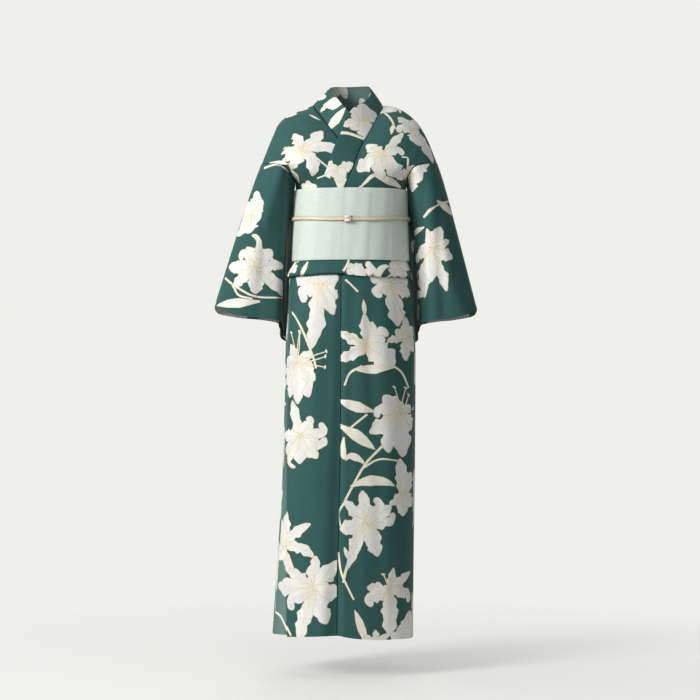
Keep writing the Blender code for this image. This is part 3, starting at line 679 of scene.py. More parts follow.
# panels, centre x and y, petals (tip x, tip y, half width, bend, curl of the tip), stamens (tip x, tip y)
LILIES = (
    ("BR", 303, 149, ((298, 124, 5, 10), (283, 140, 4.6, 0, 40), (283, 157, 6.5), (292, 176, 6.2, 10),
     (319, 175, 6, -14), (323, 120, 5, 16), (339, 138, 5.6, -16)),
     ((287, 135), (291, 131))),
    ("BR", 308, 188, ((300, 183, 3), (308, 179, 3.2), (316, 185, 3)),
     ()),
    ("C", 364, 118, ((350, 127, 6.5, 0), (343, 124, 4, 10), (377, 103, 8, 0), (384, 112, 4, -20, -130),
     (370, 140, 9), (352, 105, 6), (364, 98, 8)),
     ()),
    ("C", 338, 170, ((322, 164, 5, 0, 30), (324, 174, 5), (340, 182, 5.5), (354, 164, 4.6, 10),
     (346, 174, 4)),
     ()),
    ("BL", 384, 155, ((391, 123, 3.8, 8), (365, 143, 4.6, -10), (356, 166, 6, 14), (375, 178, 6, 20),
     (402, 183, 8.5, 0), (402, 143, 5, -30, -120)),
     ((366, 152), (370, 148), (374, 144))),
    ("BL", 416, 128, ((398, 122, 5.5, 30, 130), (409, 108, 5, 0), (422, 112, 5), (428, 161, 6.5, -22),
     (416, 145, 8, 0), (421, 129, 7)),
     ()),
    ("BL SL", 412, 172, ((425, 158, 6, 0, -40), (422, 178, 5.5), (410, 188, 6), (404, 176, 6), (415, 160, 5)
     ),
     ()),
    ("SR", 248, 214, ((254, 190, 6, 0, 60), (258, 199, 6.5), (259, 217, 8), (250, 232, 7, 0),
     (240, 238, 6, 0, -120), (238, 214, 7), (238, 200, 6)),
     ()),
    ("SR", 256, 266, ((259, 231, 3.2, 6, 70), (246, 246, 5.6, 10), (237, 246, 5, 30, 150), (228, 264, 7),
     (233, 285, 5.4, 16), (255, 293, 7.5), (283, 298, 5.6, -14), (279, 262, 7, 12, -50), (270, 248, 6.5)),
     ()),
    ("SL", 431, 250, ((437, 227, 6, 6), (427, 229, 2.8), (447, 238, 4), (452, 255, 6, -20),
     (451, 287, 4, -18), (431, 297, 6, 24), (436, 280, 6.5), (414, 259, 4.6, 30, 90), (420, 246, 5.4)),
     ((444, 243), (446, 247))),
    ("SL", 412, 243, ((416, 238, 3), (416, 248, 3), (407, 240, 3)),
     ()),
    ("SL", 415, 296, ((422, 322, 5.5, 8), (428, 292, 4), (409, 298, 6), (418, 288, 4)),
     ()),
    ("OL BR", 290, 262, ((286, 279, 3.6), (297, 272, 3.2), (293, 256, 5)),
     ()),
    ("BL", 360, 280, ((352, 268, 4.2), (360, 263, 5.2), (368, 269, 4.2)),
     ()),
    ("BL", 398, 258, ((392, 277, 6), (402, 278, 7), (412, 268, 6)),
     ()),
    ("OL BR", 319, 284, ((337, 277, 8), (296, 277, 8), (299, 300, 7.5, 40, 110), (337, 298, 8, 20),
     (334, 314, 6, -10), (314, 347, 7.5, -12), (318, 272, 10)),
     ((330, 314),)),
    ("OL BR", 298, 364, ((289, 345, 5), (312, 352, 5), (282, 362, 8), (313, 366, 6.5), (315, 380, 7),
     (281, 384, 8), (310, 396, 7.5), (288, 397, 6.5), (299, 403, 7)),
     ((295, 331), (300, 331), (306, 334), (323, 346), (325, 356), (325, 361))),
    ("OL BR", 300, 437, ((291, 402, 5.2, 4), (314, 418, 6, 0, 50), (331, 428, 5.6, 20, 120),
     (329, 446, 6, 20, 100), (318, 457, 7), (301, 463, 7.5), (285, 455, 6.5), (280, 436, 6),
     (283, 470, 3.4, 0, 110)),
     ()),
    ("OL BR", 283, 548, ((285, 514, 5), (311, 524, 4.6, -34), (315, 557, 5, -64), (290, 574, 3.6),
     (276, 562, 7), (270, 545, 8.5), (274, 522, 6)),
     ()),
    ("OL BR", 313, 590, ((315, 556, 6.5), (336, 560, 7), (289, 571, 7), (339, 592, 8.5), (274, 587, 8.5),
     (328, 622, 8.5), (301, 641, 6.5, 6), (284, 606, 6, 20, 100)),
     ()),
    ("BL", 392, 286, ((402, 262, 8), (371, 272, 7), (411, 278, 7), (371, 296, 6, 50, 150), (397, 325, 8, 8),
     (412, 294, 6)),
     ((404, 318),)),
    ("BL", 368, 347, ((340, 332, 4.6, -6), (340, 360, 5.4, 6), (365, 315, 5.2), (376, 323, 4.5, 0, 50),
     (387, 326, 5.5, -20, -120), (384, 338, 7), (394, 364, 12)),
     ((348, 333), (351, 339), (350, 347))),
    ("BL", 406, 338, ((388, 341, 3.4, 16), (397, 330, 4.4), (418, 328, 7), (407, 360, 4.6), (421, 350, 7),
     (408, 318, 4)),
     ()),
    ("BL", 402, 415, ((384, 396, 7.5), (396, 400, 6), (371, 408, 5.5, 30, 120), (412, 406, 5),
     (371, 432, 7.5), (384, 450, 8, 0, 40), (414, 430, 8), (404, 456, 9)),
     ((402, 386), (406, 388), (412, 396), (416, 405))),
    ("BL", 404, 495, ((401, 460, 6), (414, 474, 6.5), (392, 505, 5.5, -10, -80), (404, 516, 5.6),
     (416, 507, 6.5)),
     ()),
    ("BL", 367, 522, ((362, 491, 6, 0), (345, 500, 5, -10), (341, 529, 8), (351, 551, 6),
     (349, 568, 4.6, 10), (378, 555, 7.5, -6), (398, 520, 5.6, 20, 90), (390, 506, 6.5, 10),
     (384, 498, 5.6, 10, 120)),
     ()),
    ("BL", 389, 592, ((393, 569, 3.6), (368, 587, 6.4), (412, 574, 4, -24), (363, 603, 6.4, 40, 110),
     (415, 601, 5.6, -60, -60), (390, 635, 7.5, -4), (401, 590, 4)),
     ((383, 574), (387, 579))),
    ("BL", 376, 646, ((366, 634, 3.8, 0, 60), (376, 630, 3.2), (387, 634, 4, 0, -60)),
     ()),
    ("BL", 408, 648, ((393, 634, 7), (403, 626, 8), (414, 615, 9), (420, 632, 9), (400, 640, 8)),
     ()),
)

# panels, half width, places along the stem
STEMS = (
    ("BR SR", 1.0, ((262, 166), (274, 163), (288, 164))),
    ("BR", 0.8, ((313, 154), (320, 161), (328, 166))),
    ("C", 1.4, ((340, 132), (350, 133), (368, 139))),
    ("C BR", 0.8, ((318, 178), (328, 174), (340, 173))),
    ("BL", 1.3, ((379, 173), (366, 178), (354, 188))),
    ("BL", 0.8, ((402, 156), (408, 158), (403, 184))),
    ("SR", 0.9, ((222, 277), (233, 286), (252, 298), (270, 301), (284, 301))),
    ("SR", 0.9, ((231, 283), (238, 295), (252, 299))),
    ("SL", 1.0, ((423, 216), (429, 208), (437, 200), (449, 193))),
    ("SL", 0.9, ((424, 266), (418, 271), (414, 280))),
    ("BL", 1.0, ((350, 257), (346, 266), (341, 274))),
    ("BL", 0.9, ((346, 280), (350, 284), (357, 292))),
    ("OL", 0.9, ((289, 311), (297, 318), (305, 330), (311, 344), (316, 357), (319, 368))),
    ("OL", 1.1, ((287, 556), (291, 566), (297, 578))),
    ("OL BR", 1.0, ((272, 615), (282, 620), (292, 636))),
    ("BL", 1.0, ((362, 366), (350, 373), (345, 385))),
    ("BL", 0.9, ((392, 365), (403, 373), (410, 388))),
    ("BL", 0.9, ((367, 414), (357, 422), (350, 428))),
    ("BL", 1.1, ((382, 446), (366, 463), (355, 482), (346, 500))),
    ("BL", 0.9, ((346, 500), (339, 512), (341, 526))),
    ("BL", 0.9, ((362, 468), (379, 459), (398, 461))),
    ("BL", 1.2, ((350, 556), (345, 572), (343, 583))),
    ("BL", 1.0, ((338, 552), (341, 574), (352, 600))),
)

# panels, foot x and y, tip x and y, half width, bend, curl
LEAVES = (
    ("BR", 288, 164, 269, 148, 3.2, -24),
    ("BR", 290, 170, 300, 186, 3.4, 10),
    ("BR", 322, 116, 318, 106, 1.5),
    ("C", 325, 129, 349, 106, 4.6),
    ("C", 322, 101, 342, 96, 9),
    ("C", 320, 108, 322, 100, 2.2),
    ("C", 340, 190, 343, 176, 6.5),
    ("BL", 391, 132, 391, 119, 1.8),
    ("BL", 402, 186, 376, 175, 4.4, 16),
    ("SR", 259, 301, 215, 308, 4.6, 14),
    ("SL", 436, 200, 455, 213, 3.8, -16),
    ("SL", 424, 226, 407, 234, 3),
    ("OL", 307, 262, 305, 277, 2.4),
    ("BL", 365, 318, 364, 300, 2.1),
    ("BL", 394, 367, 354, 369, 4.4, -12),
    ("BL", 406, 322, 401, 308, 2.2),
    ("BL", 373, 411, 339, 400, 5.2, -10),
    ("BL", 338, 424, 375, 449, 5.4, -10),
    ("BL", 344, 437, 346, 464, 3, 30, 110),
    ("BL", 351, 486, 397, 486, 5.0, -60),
    ("BL", 364, 463, 343, 455, 3.4, 60, 60),
    ("BL", 349, 560, 345, 546, 1.9),
    ("BL", 366, 646, 357, 609, 4, 10),
)


# ---- camera, light and floor ----
bpy.context.scene.view_settings.view_transform = "Standard"
for old in [o for o in bpy.data.objects if o.name in ("Cube", "Light", "Camera")]:
    bpy.data.objects.remove(old, do_unlink=True)


def srgb(*values):
    """Linear colour from 0-255 display values."""
    made = []
    for value in values:
        v = value / 255
        made.append(v / 12.92 if v <= 0.04045 else ((v + 0.055) / 1.055) ** 2.4)
    return tuple(made)


def rgba(*values):
    """The same, as a colour for a node."""
    return (*srgb(*values), 1)


def linked(name, data):
    """A new object that holds this data, in the scene."""
    made = bpy.data.objects.new(name, data)
    bpy.context.scene.collection.objects.link(made)
    return made


def in_scene(name, mesh):
    """A piece of the part in the scene: it rides the one body."""
    made = linked(name, mesh)
    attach(made, "root")
    return made


def area_light(name, place, aim, size, power, colour=(1, 1, 1)):
    light = bpy.data.lights.new(name, "AREA")
    light.shape = "RECTANGLE"
    light.size, light.size_y = size
    light.energy = power
    light.color = colour
    made = linked(name, light)
    made.location = place
    made.rotation_euler = (Vector(aim) - Vector(place)).to_track_quat("-Z", "Y").to_euler()


FOCAL_PIXELS = 1971.0  # the lens, in pixels of the photograph
SENSOR = 36.0  # mm
CAMERA_BACK = 4.7  # m in front of the robe's middle
camera = linked("camera", bpy.data.cameras.new("camera"))
camera.location = (EYE_X, -CAMERA_BACK, EYE_Z)
camera.rotation_euler = (math.pi / 2, 0, 0)
camera.data.sensor_width = SENSOR
camera.data.lens = FOCAL_PIXELS * SENSOR / (2.0 * PICTURE_MIDDLE)
bpy.context.scene.camera = camera

area_light("key", (-2.42, -1.85, 0.75), (0, 0, -0.45), (1.1, 1.4), 100, (1.0, 0.985, 0.96))
area_light("fill", (0.6, -4.6, 0.4), (0, 0, -0.7), (2.2, 2.6), 26)
area_light("top", (-0.6, -0.3, 2.2), (0, 0, -0.4), (2.0, 2.0), 12)
area_light("back", (0.8, 3.6, 0.6), (0, 0, -0.6), (2.6, 2.6), 46)

AMBIENT = 0.32  # strength of the light from all round
world = bpy.context.scene.world or bpy.data.worlds.new("world")
bpy.context.scene.world = world
world.use_nodes = True
tree = world.node_tree
backdrop = tree.nodes["Background"]
backdrop.inputs["Color"].default_value = rgba(239, 240, 235)
backdrop.inputs["Strength"].default_value = 1.0
ambient = tree.nodes.new("ShaderNodeBackground")
ambient.inputs["Color"].default_value = (0.90, 0.92, 0.92, 1)
ambient.inputs["Strength"].default_value = AMBIENT
seen = tree.nodes.new("ShaderNodeLightPath")
both = tree.nodes.new("ShaderNodeMixShader")
tree.links.new(seen.outputs["Is Camera Ray"], both.inputs[0])
tree.links.new(ambient.outputs[0], both.inputs[1])
tree.links.new(backdrop.outputs[0], both.inputs[2])
tree.links.new(both.outputs[0], tree.nodes["World Output"].inputs["Surface"])

FLOOR_Z = -1.3340


# ---- node materials ----
class Nodes:
    """A short way to write a shader."""

    def __init__(self, name):
        self.material = bpy.data.materials.new(name)
        self.material.use_nodes = True
        self.tree = self.material.node_tree
        self.shader = self.tree.nodes["Principled BSDF"]

    def node(self, kind, inputs=None, **settings):
        made = self.tree.nodes.new(kind)
        for key, value in settings.items():
            setattr(made, key, value)
        for key, value in (inputs or {}).items():
            self.put(made.inputs[key], value)
        return made

    def put(self, socket, value):
        if isinstance(value, bpy.types.NodeSocket):
            self.tree.links.new(value, socket)
        elif isinstance(value, bpy.types.Node):
            self.tree.links.new(value.outputs[0], socket)
        else:
            socket.default_value = value

    def math(self, operation, a, b=0.0):
        return self.node("ShaderNodeMath", {0: a, 1: b}, operation=operation)

    def times(self, a, b):
        return self.math("MULTIPLY", a, b)

    def ridges(self, place, count):
        """Round ridges across this coordinate, 0 in each groove and 1 on top."""
        return self.math("ABSOLUTE", self.math("SINE", self.times(place, count)))

    def mix(self, share, a, b, blend="MIX"):
        made = self.node("ShaderNodeMix", data_type="RGBA", blend_type=blend)
        self.put(made.inputs[0], share)
        self.put(made.inputs[6], a)
        self.put(made.inputs[7], b)
        return made.outputs[2]

    def ramp(self, value, low, high, start=0.0, end=1.0):
        return self.node("ShaderNodeMapRange", {0: value, 1: low, 2: high, 3: start, 4: end})

    def flat(self, across, along):
        """The pattern's own place in the flat cloth, scaled to cells per metre."""
        uv = self.node("ShaderNodeUVMap", uv_map="Flat")
        return self.node("ShaderNodeMapping", {0: uv, 3: (across, along, 1)})

    def attribute(self, name):
        return self.node("ShaderNodeAttribute", attribute_name=name)

    def object_place(self):
        return self.node("ShaderNodeTexCoord").outputs["Object"]

    def noise(self, at, scale, detail):
        return self.node("ShaderNodeTexNoise", {"Vector": at, "Scale": scale, "Detail": detail})

    def surface(self, colour, **settings):
        """Colour and the other inputs of the shader, by their names with _ for each space."""
        for key, value in {"Base_Color": colour, **settings}.items():
            self.put(self.shader.inputs[key.replace("_", " ")], value)

    def bump(self, height, strength, distance):
        made = self.node("ShaderNodeBump", {"Strength": strength, "Distance": distance, "Height": height})
        self.put(self.shader.inputs["Normal"], made)


COTTON_THREADS = 900  # a metre, both ways
WEAVE_DEPTH = 0.0003


def plain_weave(nodes, threads):
    """Warp and weft as soft ridges, each a little uneven along its length."""
    parts = nodes.node("ShaderNodeSeparateXYZ", {0: nodes.flat(1, 1)})
    uneven = [nodes.noise(nodes.flat(threads, 60), 1.0, 1.0), nodes.noise(nodes.flat(60, threads), 1.0, 1.0)]
    heights = []
    for axis in (0, 1):
        wave = nodes.ridges(parts.outputs[axis], threads * math.pi)
        heights.append(nodes.times(wave, nodes.ramp(uneven[axis], 0.3, 0.7, 0.7, 1.0)))
    return nodes.times(*heights), uneven


def printed(name, pale):
    """Cotton with the print in it, washed out by this much, as on the back of the cloth."""
    nodes = Nodes(name)
    ink = nodes.attribute("print").outputs["Color"]
    cell = nodes.node("ShaderNodeSeparateXYZ", {0: nodes.attribute("petal").outputs["Vector"]})
    along, across, amount = cell.outputs
    # fine veins along each petal
    veins = nodes.node("ShaderNodeCombineXYZ", {0: nodes.times(along, 1.6), 1: nodes.times(across, 9.0)})
    vein = nodes.times(nodes.ramp(nodes.noise(veins, 1.3, 2.0), 0.50, 0.68), amount)
    ink = nodes.mix(nodes.times(vein, 0.13), ink, rgba(200, 194, 192))
    # the rib in the middle, fading toward the tip
    middle = nodes.ramp(nodes.math("ABSOLUTE", across), 0.03, 0.10, 1.0, 0.0)
    rib = nodes.times(nodes.times(middle, nodes.ramp(along, 0.90, 0.70)), amount)
    ink = nodes.mix(nodes.times(rib, 0.20), ink, rgba(206, 189, 146))
    # an uneven dye, and the threads
    cloudy = nodes.noise(nodes.flat(1, 1), 9.0, 3.0)
    ink = nodes.mix(nodes.ramp(cloudy, 0.35, 0.70, 0.0, 0.14), ink, rgba(62, 104, 100))
    weave, (warp, weft) = plain_weave(nodes, COTTON_THREADS)
    slub = nodes.times(nodes.ramp(warp, 0.35, 0.65, 0.94, 1.05), nodes.ramp(weft, 0.35, 0.65, 0.95, 1.04))
    ink = nodes.mix(1.0, ink, slub, "MULTIPLY")
    if pale:
        ink = nodes.mix(pale, ink, rgba(132, 146, 143))
    nodes.surface(ink, Roughness=0.82, Specular_IOR_Level=0.28, Sheen_Weight=0.10, Sheen_Roughness=0.5)
    nodes.bump(weave, 0.20, WEAVE_DEPTH)
    return nodes.material


PRINTED, REVERSE = printed("printed_cotton_face", 0.0), printed("printed_cotton_back", 0.30)


# ---- a smooth sheet through a grid of points, with its own flat pattern ----
FINE_ROWS, FINE_COLUMNS = 10, 4  # parts of a row and of a column in which the flat cloth is measured
NUDGE, CREASED_NUDGE = 0.02, 0.04  # of a row or column, over which directions are taken
SHORT_ROW, SHORT_PARTS = 0.008, 3  # a row shorter than this is a sharp turn, and has this many parts


class Cloth:
    """Rows run along the cloth (v), columns across it (u), both in metres of flat cloth."""

    def __init__(self, rows, round_axis=None, wrapped=False):
        grid = np.array([[tuple(p) for p in row] for row in rows], float)
        self.rows, self.columns = grid.shape[:2]
        if wrapped:
            grid = np.concatenate([grid[:, -2:-1], grid, grid[:, 1:2]], axis=1)
        else:
            grid = np.concatenate(
                [2 * grid[:, :1] - grid[:, 1:2], grid, 2 * grid[:, -1:] - grid[:, -2:-1]], axis=1
            )
        self.grid = grid
        steps = np.diff(grid, axis=0)
        long = np.linalg.norm(steps, axis=2, keepdims=True) + 1e-9
        heading = steps / long
        middle = unit(heading[:-1] * long[1:] + heading[1:] * long[:-1], 2)
        middle *= np.minimum(long[:-1], long[1:])
        self.travel = np.concatenate([steps[:1], middle, steps[-1:]])
        self.relief = None
        self.flatten()
        self.facing = 1.0
        r, c = np.meshgrid(np.linspace(0.3, self.rows - 1.3, 60), np.linspace(0.3, self.columns - 1.3, 12))
        r, c = r.ravel(), c.ravel()
        points, normals = self.base(r, c)
        if round_axis is None:
            away = points - np.array([MID_X, 0.0, 0.0])
            away[:, 2] = 0
        else:
            away = points - round_axis(points)
        self.facing = 1.0 if (normals * away).sum(1).mean() > 0 else -1.0

    def at(self, r, c):
        i = np.clip(np.floor(r).astype(int), 0, self.rows - 2)
        j = np.clip(np.floor(c).astype(int), 0, self.columns - 2)
        s, t = (r - i)[:, None], (c - j)[:, None]
        h = (2 * s ** 3 - 3 * s ** 2 + 1, s ** 3 - 2 * s ** 2 + s, -2 * s ** 3 + 3 * s ** 2, s ** 3 - s ** 2)
        p = []
        for k in range(4):
            p.append(h[0] * self.grid[i, j + k] + h[1] * self.travel[i, j + k]
                     + h[2] * self.grid[i + 1, j + k] + h[3] * self.travel[i + 1, j + k])
        return 0.5 * (2 * p[1] + (p[2] - p[0]) * t + (2 * p[0] - 5 * p[1] + 4 * p[2] - p[3]) * t ** 2
                      + (3 * p[1] - p[0] - 3 * p[2] + p[3]) * t ** 3)

    def base(self, r, c):
        """Points and unit normals of the smooth sheet."""
        up, low = np.minimum(r + NUDGE, self.rows - 1), np.maximum(r - NUDGE, 0)
        right, left = np.minimum(c + NUDGE, self.columns - 1), np.maximum(c - NUDGE, 0)
        along = self.at(up, c) - self.at(low, c)
        across = self.at(r, right) - self.at(r, left)
        return self.at(r, c), unit(np.cross(across, along), 1, 1e-15) * self.facing

    def flatten(self):
        self.fine_r = np.linspace(0, self.rows - 1, (self.rows - 1) * FINE_ROWS + 1)
        fine_c = np.linspace(0, self.columns - 1, (self.columns - 1) * FINE_COLUMNS + 1)
        r, c = np.meshgrid(self.fine_r, fine_c, indexing="ij")
        points = self.at(r.ravel(), c.ravel()).reshape(len(self.fine_r), len(fine_c), 3)
        middle = len(fine_c) // 2
        line = points[:, middle]
        self.v = np.concatenate([[0], np.cumsum(np.linalg.norm(np.diff(line, axis=0), axis=1))])
        across = np.cumsum(np.linalg.norm(np.diff(points, axis=1), axis=2), axis=1)
        self.u = np.concatenate([np.zeros((len(across), 1)), across], axis=1)
        self.u -= self.u[:, middle:middle + 1]

    def edges(self, v):
        return np.interp(v, self.v, self.u[:, 0]), np.interp(v, self.v, self.u[:, -1])

    def place(self, u, v):
        """Fractional rows and columns at these places in the flat cloth."""
        r = np.interp(v, self.v, self.fine_r)
        at = np.clip(r * FINE_ROWS, 0, len(self.fine_r) - 1.000001)
        i = at.astype(int)
        w = (at - i)[:, None]
        line = self.u[i] * (1 - w) + self.u[i + 1] * w
        j = np.clip((line <= u[:, None]).sum(1) - 1, 0, line.shape[1] - 2)
        k = np.arange(len(u))
        part = (u - line[k, j]) / np.maximum(1e-9, line[k, j + 1] - line[k, j])
        return r, (j + np.clip(part, 0, 1)) / FINE_COLUMNS

    def shape(self, u, v):
        """Points and normals of the creased cloth at these places in the flat cloth."""
        r, c = self.place(u, v)
        if self.relief is None:
            return self.base(r, c)
        made = []
        for dr, dc in ((0, 0), (1, 0), (-1, 0), (0, 1), (0, -1)):
            rr = np.clip(r + dr * CREASED_NUDGE, 0, self.rows - 1)
            cc = np.clip(c + dc * CREASED_NUDGE, 0, self.columns - 1)
            points, normals = self.base(rr, cc)
            vv = np.interp(rr, self.fine_r, self.v)
            uu = self.across(rr, cc)
            out = self.relief(points, normals, uu, vv, *self.edges(vv))
            made.append(points + normals * out[:, None])
        return made[0], unit(np.cross(made[3] - made[4], made[1] - made[2]) * self.facing, 1, 1e-15)

    def across(self, r, c):
        """u at these rows and columns."""
        at = np.clip(r * FINE_ROWS, 0, len(self.fine_r) - 1.000001)
        i = at.astype(int)
        w = at - i
        cf = np.clip(c * FINE_COLUMNS, 0, self.u.shape[1] - 1.000001)
        j = cf.astype(int)
        t = cf - j
        low = self.u[i, j] * (1 - t) + self.u[i, j + 1] * t
        high = self.u[i + 1, j] * (1 - t) + self.u[i + 1, j + 1] * t
        return low * (1 - w) + high * w

    def levels(self, spacing):
        """Places along the cloth for rows of points: closer together where the cloth turns sharply."""
        knots = np.interp(np.arange(self.rows), self.fine_r, self.v)
        made = []
        for low, high in zip(knots, knots[1:]):
            count = SHORT_PARTS if high - low < SHORT_ROW else max(1, math.ceil((high - low) / spacing))
            made += [low + (high - low) * k / count for k in range(count)]
        return np.array(made + [knots[-1]])


# ---- motifs as outlines in millimetres round their own centre ----
# half width by share of the length: an open petal, one with a curled tip, and a leaf
PROFILE = ((0, 0.42), (0.12, 0.60), (0.3, 0.90), (0.48, 1.0), (0.66, 0.95), (0.80, 0.74), (0.92, 0.40),
           (0.975, 0.20), (1, 0.0))
HOOK = ((0, 0.45), (0.15, 0.70), (0.34, 0.98), (0.5, 1.0), (0.64, 0.80), (0.78, 0.58), (0.90, 0.50),
        (0.97, 0.34), (1, 0.0))
LEAF = ((0, 0.16), (0.2, 0.55), (0.45, 1.0), (0.7, 0.85), (0.9, 0.36), (1, 0.0))
OUTLINE_STEP, SCATTERED_STEP = 0.33, 0.5  # mm that an outline may be off when it is thinned


def spine(direction, length, bend, curl, count=37):
    points, at, heading = [np.zeros(2)], np.zeros(2), 0.0
    for k in range(1, count):
        t = (k - 0.5) / (count - 1)
        heading = math.radians(direction + bend * t + curl * step(0.58, 0.98, t))
        at = at + np.array((math.cos(heading), math.sin(heading))) * length / (count - 1)
        points.append(at)
    return np.array(points)


def outline(line, halves, more=0.0):
    """A closed outline round a spine, with a half width at each of its points."""
    along = unit(np.gradient(line, axis=0))
    side = np.stack([-along[:, 1], along[:, 0]], axis=1)
    left, right = halves
    line = line + along * more * np.linspace(-1, 1, len(line))[:, None]
    one = line + side * (left + more)[:, None]
    two = line - side * (right + more)[:, None]
    return np.concatenate([two, one[::-1]])


def thinned(ring, tolerance=OUTLINE_STEP):
    """A closed outline without the points that lie within the tolerance (mm) of a straight run."""
    count = len(ring)
    keep = {0, count // 2}
    spans = [(0, count // 2), (count // 2, count)]
    while spans:
        a, b = spans.pop()
        if b - a < 2:
            continue
        start, end = ring[a], ring[b % count]
        run, between = end - start, ring[a + 1:b] - start
        gaps = np.abs(run[0] * between[:, 1] - run[1] * between[:, 0]) / (np.hypot(*run) + 1e-9)
        worst = a + 1 + int(gaps.argmax())
        if gaps.max() > tolerance:
            keep.add(worst)
            spans += [(a, worst), (worst, b)]
    return ring[sorted(keep)]


class Motif:
    """One flat shape of the print: its outline, its style, and the spine that its shading follows."""

    def __init__(self, kind, line, halves, seed, more=0.0):
        self.kind, self.line, self.seed = kind, line, seed
        self.half = np.maximum(0.3, (halves[0] + halves[1]) / 2)
        self.points = thinned(outline(line, halves, more))


HOOKED = 45  # degrees of curl from which a petal's tip turns over
PETAL_RIM, STROKE_RIM = 0.9, 0.75  # mm of the gold line round each shape


def petal(direction, length, half, bend=0, curl=0, seed=0, kind="petal"):
    rng = np.random.RandomState(seed % 100000)
    line = spine(direction, length, bend, curl)
    t = np.linspace(0, 1, len(line))
    profile = LEAF if kind != "petal" else HOOK if abs(curl) > HOOKED else PROFILE
    width = np.interp(t, *zip(*profile)) * half
    sides = []
    for _ in range(2):
        wave = np.zeros(len(t))
        if kind == "petal":
            for f, a in ((1.7, 0.10), (3.2, 0.15), (5.2, 0.08), (8.0, 0.03)):
                wave += a * np.sin(2 * math.pi * (f * rng.uniform(0.85, 1.15) * t + rng.uniform()))
        else:
            wave += 0.05 * np.sin(2 * math.pi * (1.7 * t + rng.uniform()))
        sides.append(width * (1 + wave * np.sin(math.pi * t) ** 0.5))
    return [Motif(kind + "_edge", line, sides, seed, PETAL_RIM), Motif(kind, line, sides, seed)]


def stroke(points, half, seed=0, kind="stem"):
    line = np.array(points, float)
    if len(line) > 2:
        dense = smooth([(x, y, 0) for x, y in line], 6)
        line = np.array([p[:2] for p in dense])
    else:
        line = line[0] + (line[-1] - line[0]) * np.linspace(0, 1, 6)[:, None]
    t = np.linspace(0, 1, len(line))
    sides = [half * (1 - 0.25 * t)] * 2
    return [Motif(kind + "_edge", line, sides, seed, STROKE_RIM), Motif(kind, line, sides, seed)]


LONGER, WIDER = 1.03, 1.05  # the painted petal reaches a little past the places read from the picture


def lily(petals, stamens, seed=0):
    """Petals in their order, then the stamens."""
    made = []
    for k, (direction, length, half, bend, curl) in enumerate(petals):
        made += petal(direction, length * LONGER, half * WIDER, bend, curl, seed * 31 + k)
    for k, (direction, length) in enumerate(stamens):
        line = spine(direction + 8 * math.sin(seed + k), length, -16 if k % 2 else 14, 0, 9)
        made += stroke(line, 0.9, seed, "stamen")
        end, heading = line[-1], math.radians(direction + 70)
        tip = np.array((math.cos(heading), math.sin(heading))) * 3.6
        made += petal(math.degrees(heading), 8.0, 1.7, 0, 0, seed + k, "leaf")
        for m in made[-2:]:
            m.points = m.points + end - tip
            m.line = m.line + end - tip
    return made


# ---- laying the print out on the pieces ----
WHITE, LILAC, SHADOW = srgb(243, 242, 237), srgb(221, 220, 225), srgb(190, 188, 192)
CREAM, THROAT, EDGE = srgb(240, 235, 219), srgb(236, 228, 198), srgb(210, 195, 156)
# the second colour is painted light: a paler green painted on the single layer beyond the overlap, in place
# of light through the cloth
GROUND, PAINTED_BACKLIGHT = srgb(42, 86, 82), srgb(128, 160, 153)


def blend(a, b, share):
    share = np.clip(share, 0, 1)[:, None]
    return np.asarray(a) * (1 - share) + np.asarray(b) * share


def paint(motif, points):
    """Colour at these places (millimetres round the motif's centre), and place along and across the petal."""
    gaps = ((points[:, None] - motif.line[None]) ** 2).sum(2)
    near = gaps.argmin(1)
    t = near / (len(motif.line) - 1)
    along = np.gradient(motif.line, axis=0)[near]
    side = points - motif.line[near]
    s = (along[:, 0] * side[:, 1] - along[:, 1] * side[:, 0]) / (np.linalg.norm(along, axis=1) + 1e-9)
    s = s / motif.half[near]
    rng = np.random.RandomState(motif.seed % 100000)
    tone, lean = rng.uniform(0, 1), 1 if rng.uniform() > 0.5 else -1
    if motif.kind == "petal":
        shaded = 0.35 * np.clip(s * lean, 0, 1) - 0.3 * np.clip(-s * lean, 0, 1)
        colour = blend(WHITE, LILAC, 0.15 + 0.35 * tone + shaded)
        colour = colour * (1 - 0.03 * bell(s, 0.14) * np.clip(1.1 - t, 0, 1))[:, None]
        colour = blend(colour, CREAM, 0.55 * np.clip((np.abs(s) - 0.62) / 0.4, 0, 1))
        colour = blend(colour, THROAT, 0.80 * bell(t + 0.02, 0.26))
        colour = blend(colour, SHADOW, 0.22 * tone * bell(t - 0.95, 0.12))
        amount = np.full(len(t), 1.0)
    elif motif.kind in ("leaf", "stem", "stamen"):
        colour = blend(CREAM, WHITE, 0.55 - 0.4 * np.abs(s))
        amount = np.full(len(t), 0.35)
    else:
        colour = np.repeat([EDGE], len(t), axis=0) * (0.92 + 0.16 * tone)
        amount = np.zeros(len(t))
    return colour, np.stack([t, s, amount], axis=1)


STRETCH = 1.45  # the most that a motif is drawn out where the cloth turns away
SAME_PLACE = 0.00008  # m2: places of the cloth this near in the picture are layers over one another
TURNED_AWAY = 0.01  # m2, added where the cloth faces back
REACH, REACH_STEP = 0.0900, 0.0030  # how far to each side that is followed, and in what steps
PROBE_STEP = 0.006  # between the places where a print looks its cloth up
PROBE_TURN = 0.004  # over which the cloth's own directions are taken


def stretched(value, start, end):
    """Interpolation that runs on beyond both ends with slope 1."""
    start, end = np.asarray(start, float), np.asarray(end, float)
    inner = np.interp(value, start, end)
    return inner + np.minimum(0, value - start[0]) + np.maximum(0, value - start[-1])


